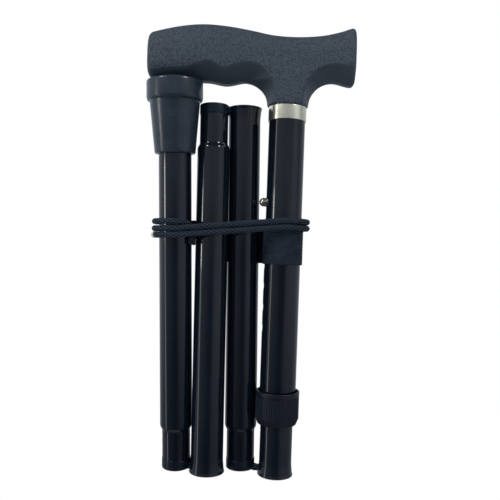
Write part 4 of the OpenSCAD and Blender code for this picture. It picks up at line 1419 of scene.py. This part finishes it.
# Each lamp's place, aim, size, power and tint
WARM, WHITE = (1.0, 0.98, 0.92), (1, 1, 1)
LAMPS = {
    "lamp_left": ((-0.75, -0.25, 0.05), (0, 0, 0.05), (0.08, 1.2), 0.67, WARM),
    "lamp_window": ((-0.74, -0.25, 0.19), (0, 0, 0.19), (0.08, 0.16), 0.4, WARM),
    "lamp_top_left": ((-0.62, -0.45, 0.8), (-0.02, 0, 0.2), (0.18, 0.18), 3.6, WHITE),
    "lamp_top_right": ((0.55, -0.5, 0.8), (-0.02, 0, 0.2), (0.18, 0.18), 3.0, WHITE),
}


def cleared(data):
    """The emptied node tree of a material or a world."""
    data.use_nodes = True
    data.node_tree.nodes.clear()
    return data.node_tree


def stage_mesh(name, corners, faces, made):
    """A part of the stage from its corners and faces."""
    mesh = bpy.data.meshes.new(name)
    mesh.from_pydata(corners, [], faces)
    mesh.materials.append(made)
    obj = bpy.data.objects.new(name, mesh)
    bpy.context.scene.collection.objects.link(obj)
    return obj


def floor_finish():
    """Pale floor: seen through in part, so that the white behind it shows, and open to the lamps."""
    made = bpy.data.materials.new("stage_floor")
    tree = cleared(made)
    rays = add(tree, "ShaderNodeLightPath").outputs
    camera = rays["Is Camera Ray"]
    matt = add(tree, "ShaderNodeBsdfDiffuse", Color=FLOOR_GREY).outputs[0]
    clear = add(tree, "ShaderNodeBsdfTransparent").outputs[0]
    where = add(tree, "ShaderNodeTexCoord").outputs["Object"]
    away = add(tree, "ShaderNodeVectorMath", {"operation": "LENGTH"}, _0=where).outputs["Value"]
    near = mapped(tree, away, *FLOOR_FADE, 1.0, 0.0)
    open_share = maths(tree, "SUBTRACT", 1.0, maths(tree, "MULTIPLY", near, FLOOR_TAKES))
    share = maths(tree, "MAXIMUM", maths(tree, "MULTIPLY", camera, open_share), rays["Is Shadow Ray"])
    mix = add(tree, "ShaderNodeMixShader", _0=share, _1=matt, _2=clear).outputs[0]
    glow = maths(tree, "MULTIPLY", camera, maths(tree, "MULTIPLY", near, FLOOR_ADDS))
    lift = add(tree, "ShaderNodeEmission", Strength=glow).outputs[0]
    whole = add(tree, "ShaderNodeAddShader", _0=mix, _1=lift).outputs[0]
    add(tree, "ShaderNodeOutputMaterial", Surface=whole)
    return made


def ramp_of(tree, fac, stops):
    """Level at a bearing: fac goes from 0 at -180 degrees to 1 at 180."""
    ramp = add(tree, "ShaderNodeValToRGB", Fac=fac)
    ramp.color_ramp.interpolation = "EASE"
    elements = ramp.color_ramp.elements
    while len(elements) < len(stops):
        elements.new(0.5)
    for element, (bearing, level) in zip(elements, stops):
        element.position = bearing / 360 + 0.5
        element.color = (level, level, level, 1)
    return ramp.outputs["Color"]


def card_finish():
    """Soft greys round the card, from low levels to high ones as it rises, dimmer at its foot and its top."""
    made = bpy.data.materials.new("stage_card")
    tree = cleared(made)
    where = add(tree, "ShaderNodeTexCoord").outputs
    bearing = add(tree, "ShaderNodeSeparateXYZ", Vector=where["UV"]).outputs["X"]
    height = add(tree, "ShaderNodeSeparateXYZ", Vector=where["Object"]).outputs["Z"]
    rise = mapped(tree, height, *CARD_RISE, kind="SMOOTHSTEP")
    level = mixed(tree, rise, ramp_of(tree, bearing, CARD_LOW), ramp_of(tree, bearing, CARD_HIGH))
    tinted = mixed(tree, 1.0, level, CARD_TINT, "MULTIPLY")
    foot = mapped(tree, height, *CARD_FOOT_FADE, to_low=CARD_FOOT_LEVEL)
    top = mapped(tree, height, *CARD_TOP_FADE, 1.0, CARD_TOP_LEVEL)
    glow = add(tree, "ShaderNodeEmission", Color=tinted, Strength=maths(tree, "MULTIPLY", foot, top))
    add(tree, "ShaderNodeOutputMaterial", Surface=glow.outputs[0])
    return made


def card():
    """A round upright card about the cane, which only reflections see."""
    corners = []
    for k in range(CARD_STEPS + 1):
        a = 2 * math.pi * (k / CARD_STEPS - 0.5)
        corners += [(CARD_R * math.sin(a), -CARD_R * math.cos(a), z) for z in (CARD_FOOT, CARD_TOP)]
    faces = [(2 * k, 2 * k + 2, 2 * k + 3, 2 * k + 1) for k in range(CARD_STEPS)]
    panel = stage_mesh("card", corners, faces, card_finish())
    around = panel.data.uv_layers.new(name="bearing")
    for loop in panel.data.loops:
        around.data[loop.index].uv = (loop.vertex_index // 2 / CARD_STEPS, 0)
    panel.visible_camera = panel.visible_diffuse = panel.visible_shadow = panel.visible_transmission = False


def white_world():
    """A world that is white to the camera, soft to the cane, and darker low down where it is reflected."""
    world = bpy.data.worlds.new("stage_white")
    tree = cleared(world)
    rays = add(tree, "ShaderNodeLightPath").outputs
    way = add(tree, "ShaderNodeTexCoord").outputs["Generated"]
    height = add(tree, "ShaderNodeSeparateXYZ", Vector=way).outputs["Z"]
    soft = mapped(tree, height, -1.0, 1.0, *SKY_LIGHT)
    foot = mapped(tree, height, *SKY_FOOT, to_low=SKY_FOOT_LEVEL)
    through = maths(tree, "MAXIMUM", rays["Is Glossy Ray"], rays["Is Transmission Ray"])
    seen = maths(tree, "MAXIMUM", rays["Is Camera Ray"], maths(tree, "MULTIPLY", through, foot))
    strength = maths(tree, "MAXIMUM", seen, soft)
    sky = add(tree, "ShaderNodeBackground", Color=(1, 1, 1, 1), Strength=strength).outputs[0]
    add(tree, "ShaderNodeOutputWorld", Surface=sky)
    return world


def lamp(name, where, aim, size, power, tint):
    """A soft rectangular lamp."""
    data = bpy.data.lights.new(name, "AREA")
    data.shape, data.size, data.size_y, data.energy, data.color = "RECTANGLE", *size, power, tint
    obj = bpy.data.objects.new(name, data)
    obj.location = where
    obj.rotation_euler = (Vector(aim) - Vector(where)).to_track_quat("-Z", "Y").to_euler()
    bpy.context.scene.collection.objects.link(obj)


def stage_camera():
    """The camera: level, before the shaft, and rolled a little."""
    data = bpy.data.cameras.new("camera")
    data.sensor_width = SENSOR
    data.lens = FOCAL_PX / FRAME_PX * SENSOR
    data.clip_start, data.clip_end = CLIP
    camera = bpy.data.objects.new("camera", data)
    right = Vector((math.cos(ROLL), 0, math.sin(ROLL)))
    up = Vector((-math.sin(ROLL), 0, math.cos(ROLL)))
    turn = Matrix((right, up, right.cross(up))).transposed().to_4x4()
    where = Vector((AIM[0] * MM, SHAFT.y * MM - CAMERA_BACK, AIM[1] * MM))
    camera.matrix_world = Matrix.Translation(where) @ turn
    bpy.context.scene.collection.objects.link(camera)
    return camera


class CANE_OT_stage(bpy.types.Operator):
    """Sets the floor, the lamps, the card and the camera"""

    bl_idname = "cane.stage"
    bl_label = "Stage"

    def execute(self, context):
        scene, far = context.scene, FLOOR_FAR
        scene.view_settings.view_transform = "Standard"
        scene.world = white_world()
        ground = [(-far, -far, 0), (far, -far, 0), (far, far, 0), (-far, far, 0)]
        stage_mesh("floor", ground, [(0, 1, 2, 3)], floor_finish()).visible_glossy = False
        card()
        for name, values in LAMPS.items():
            lamp(name, *values)
        scene.camera = stage_camera()
        return {"FINISHED"}


STEPS = (
    "finishes", "stage", "wrist_cord", "elastic_cord", "tubes", "bushes", "inner_pieces", "collar", "button",
    "tip", "ring", "strap", "handle",
)


class CANE_PT_pieces(bpy.types.Panel):
    """Lists the steps that dress the cane"""

    bl_idname = "CANE_PT_pieces"
    bl_label = "Folding cane"
    bl_space_type = "VIEW_3D"
    bl_region_type = "UI"
    bl_category = "Cane"

    def draw(self, context):
        for name in STEPS:
            self.layout.operator(f"cane.{name}")
        for settings in (context.scene.cane_sizes, context.scene.cane_colours):
            for key in settings.bl_rna.properties.keys():
                if key not in ("rna_type", "name"):
                    self.layout.prop(settings, key)


CLASSES = (
    CaneSizes, CaneColours, CANE_OT_finishes, CANE_OT_stage, CANE_OT_wrist_cord, CANE_OT_elastic_cord,
    CANE_OT_tubes, CANE_OT_bushes, CANE_OT_inner_pieces, CANE_OT_collar, CANE_OT_button, CANE_OT_tip,
    CANE_OT_ring, CANE_OT_strap, CANE_OT_handle, CANE_PT_pieces,
)


def register():
    for made in CLASSES:
        bpy.utils.register_class(made)
    bpy.types.Scene.cane_sizes = PointerProperty(type=CaneSizes)
    bpy.types.Scene.cane_colours = PointerProperty(type=CaneColours)


def unregister():
    del bpy.types.Scene.cane_colours
    del bpy.types.Scene.cane_sizes
    for made in reversed(CLASSES):
        bpy.utils.unregister_class(made)


def main():
    register()
    for name in STEPS:
        getattr(bpy.ops.cane, name)()


if __name__ == "__main__":
    main()
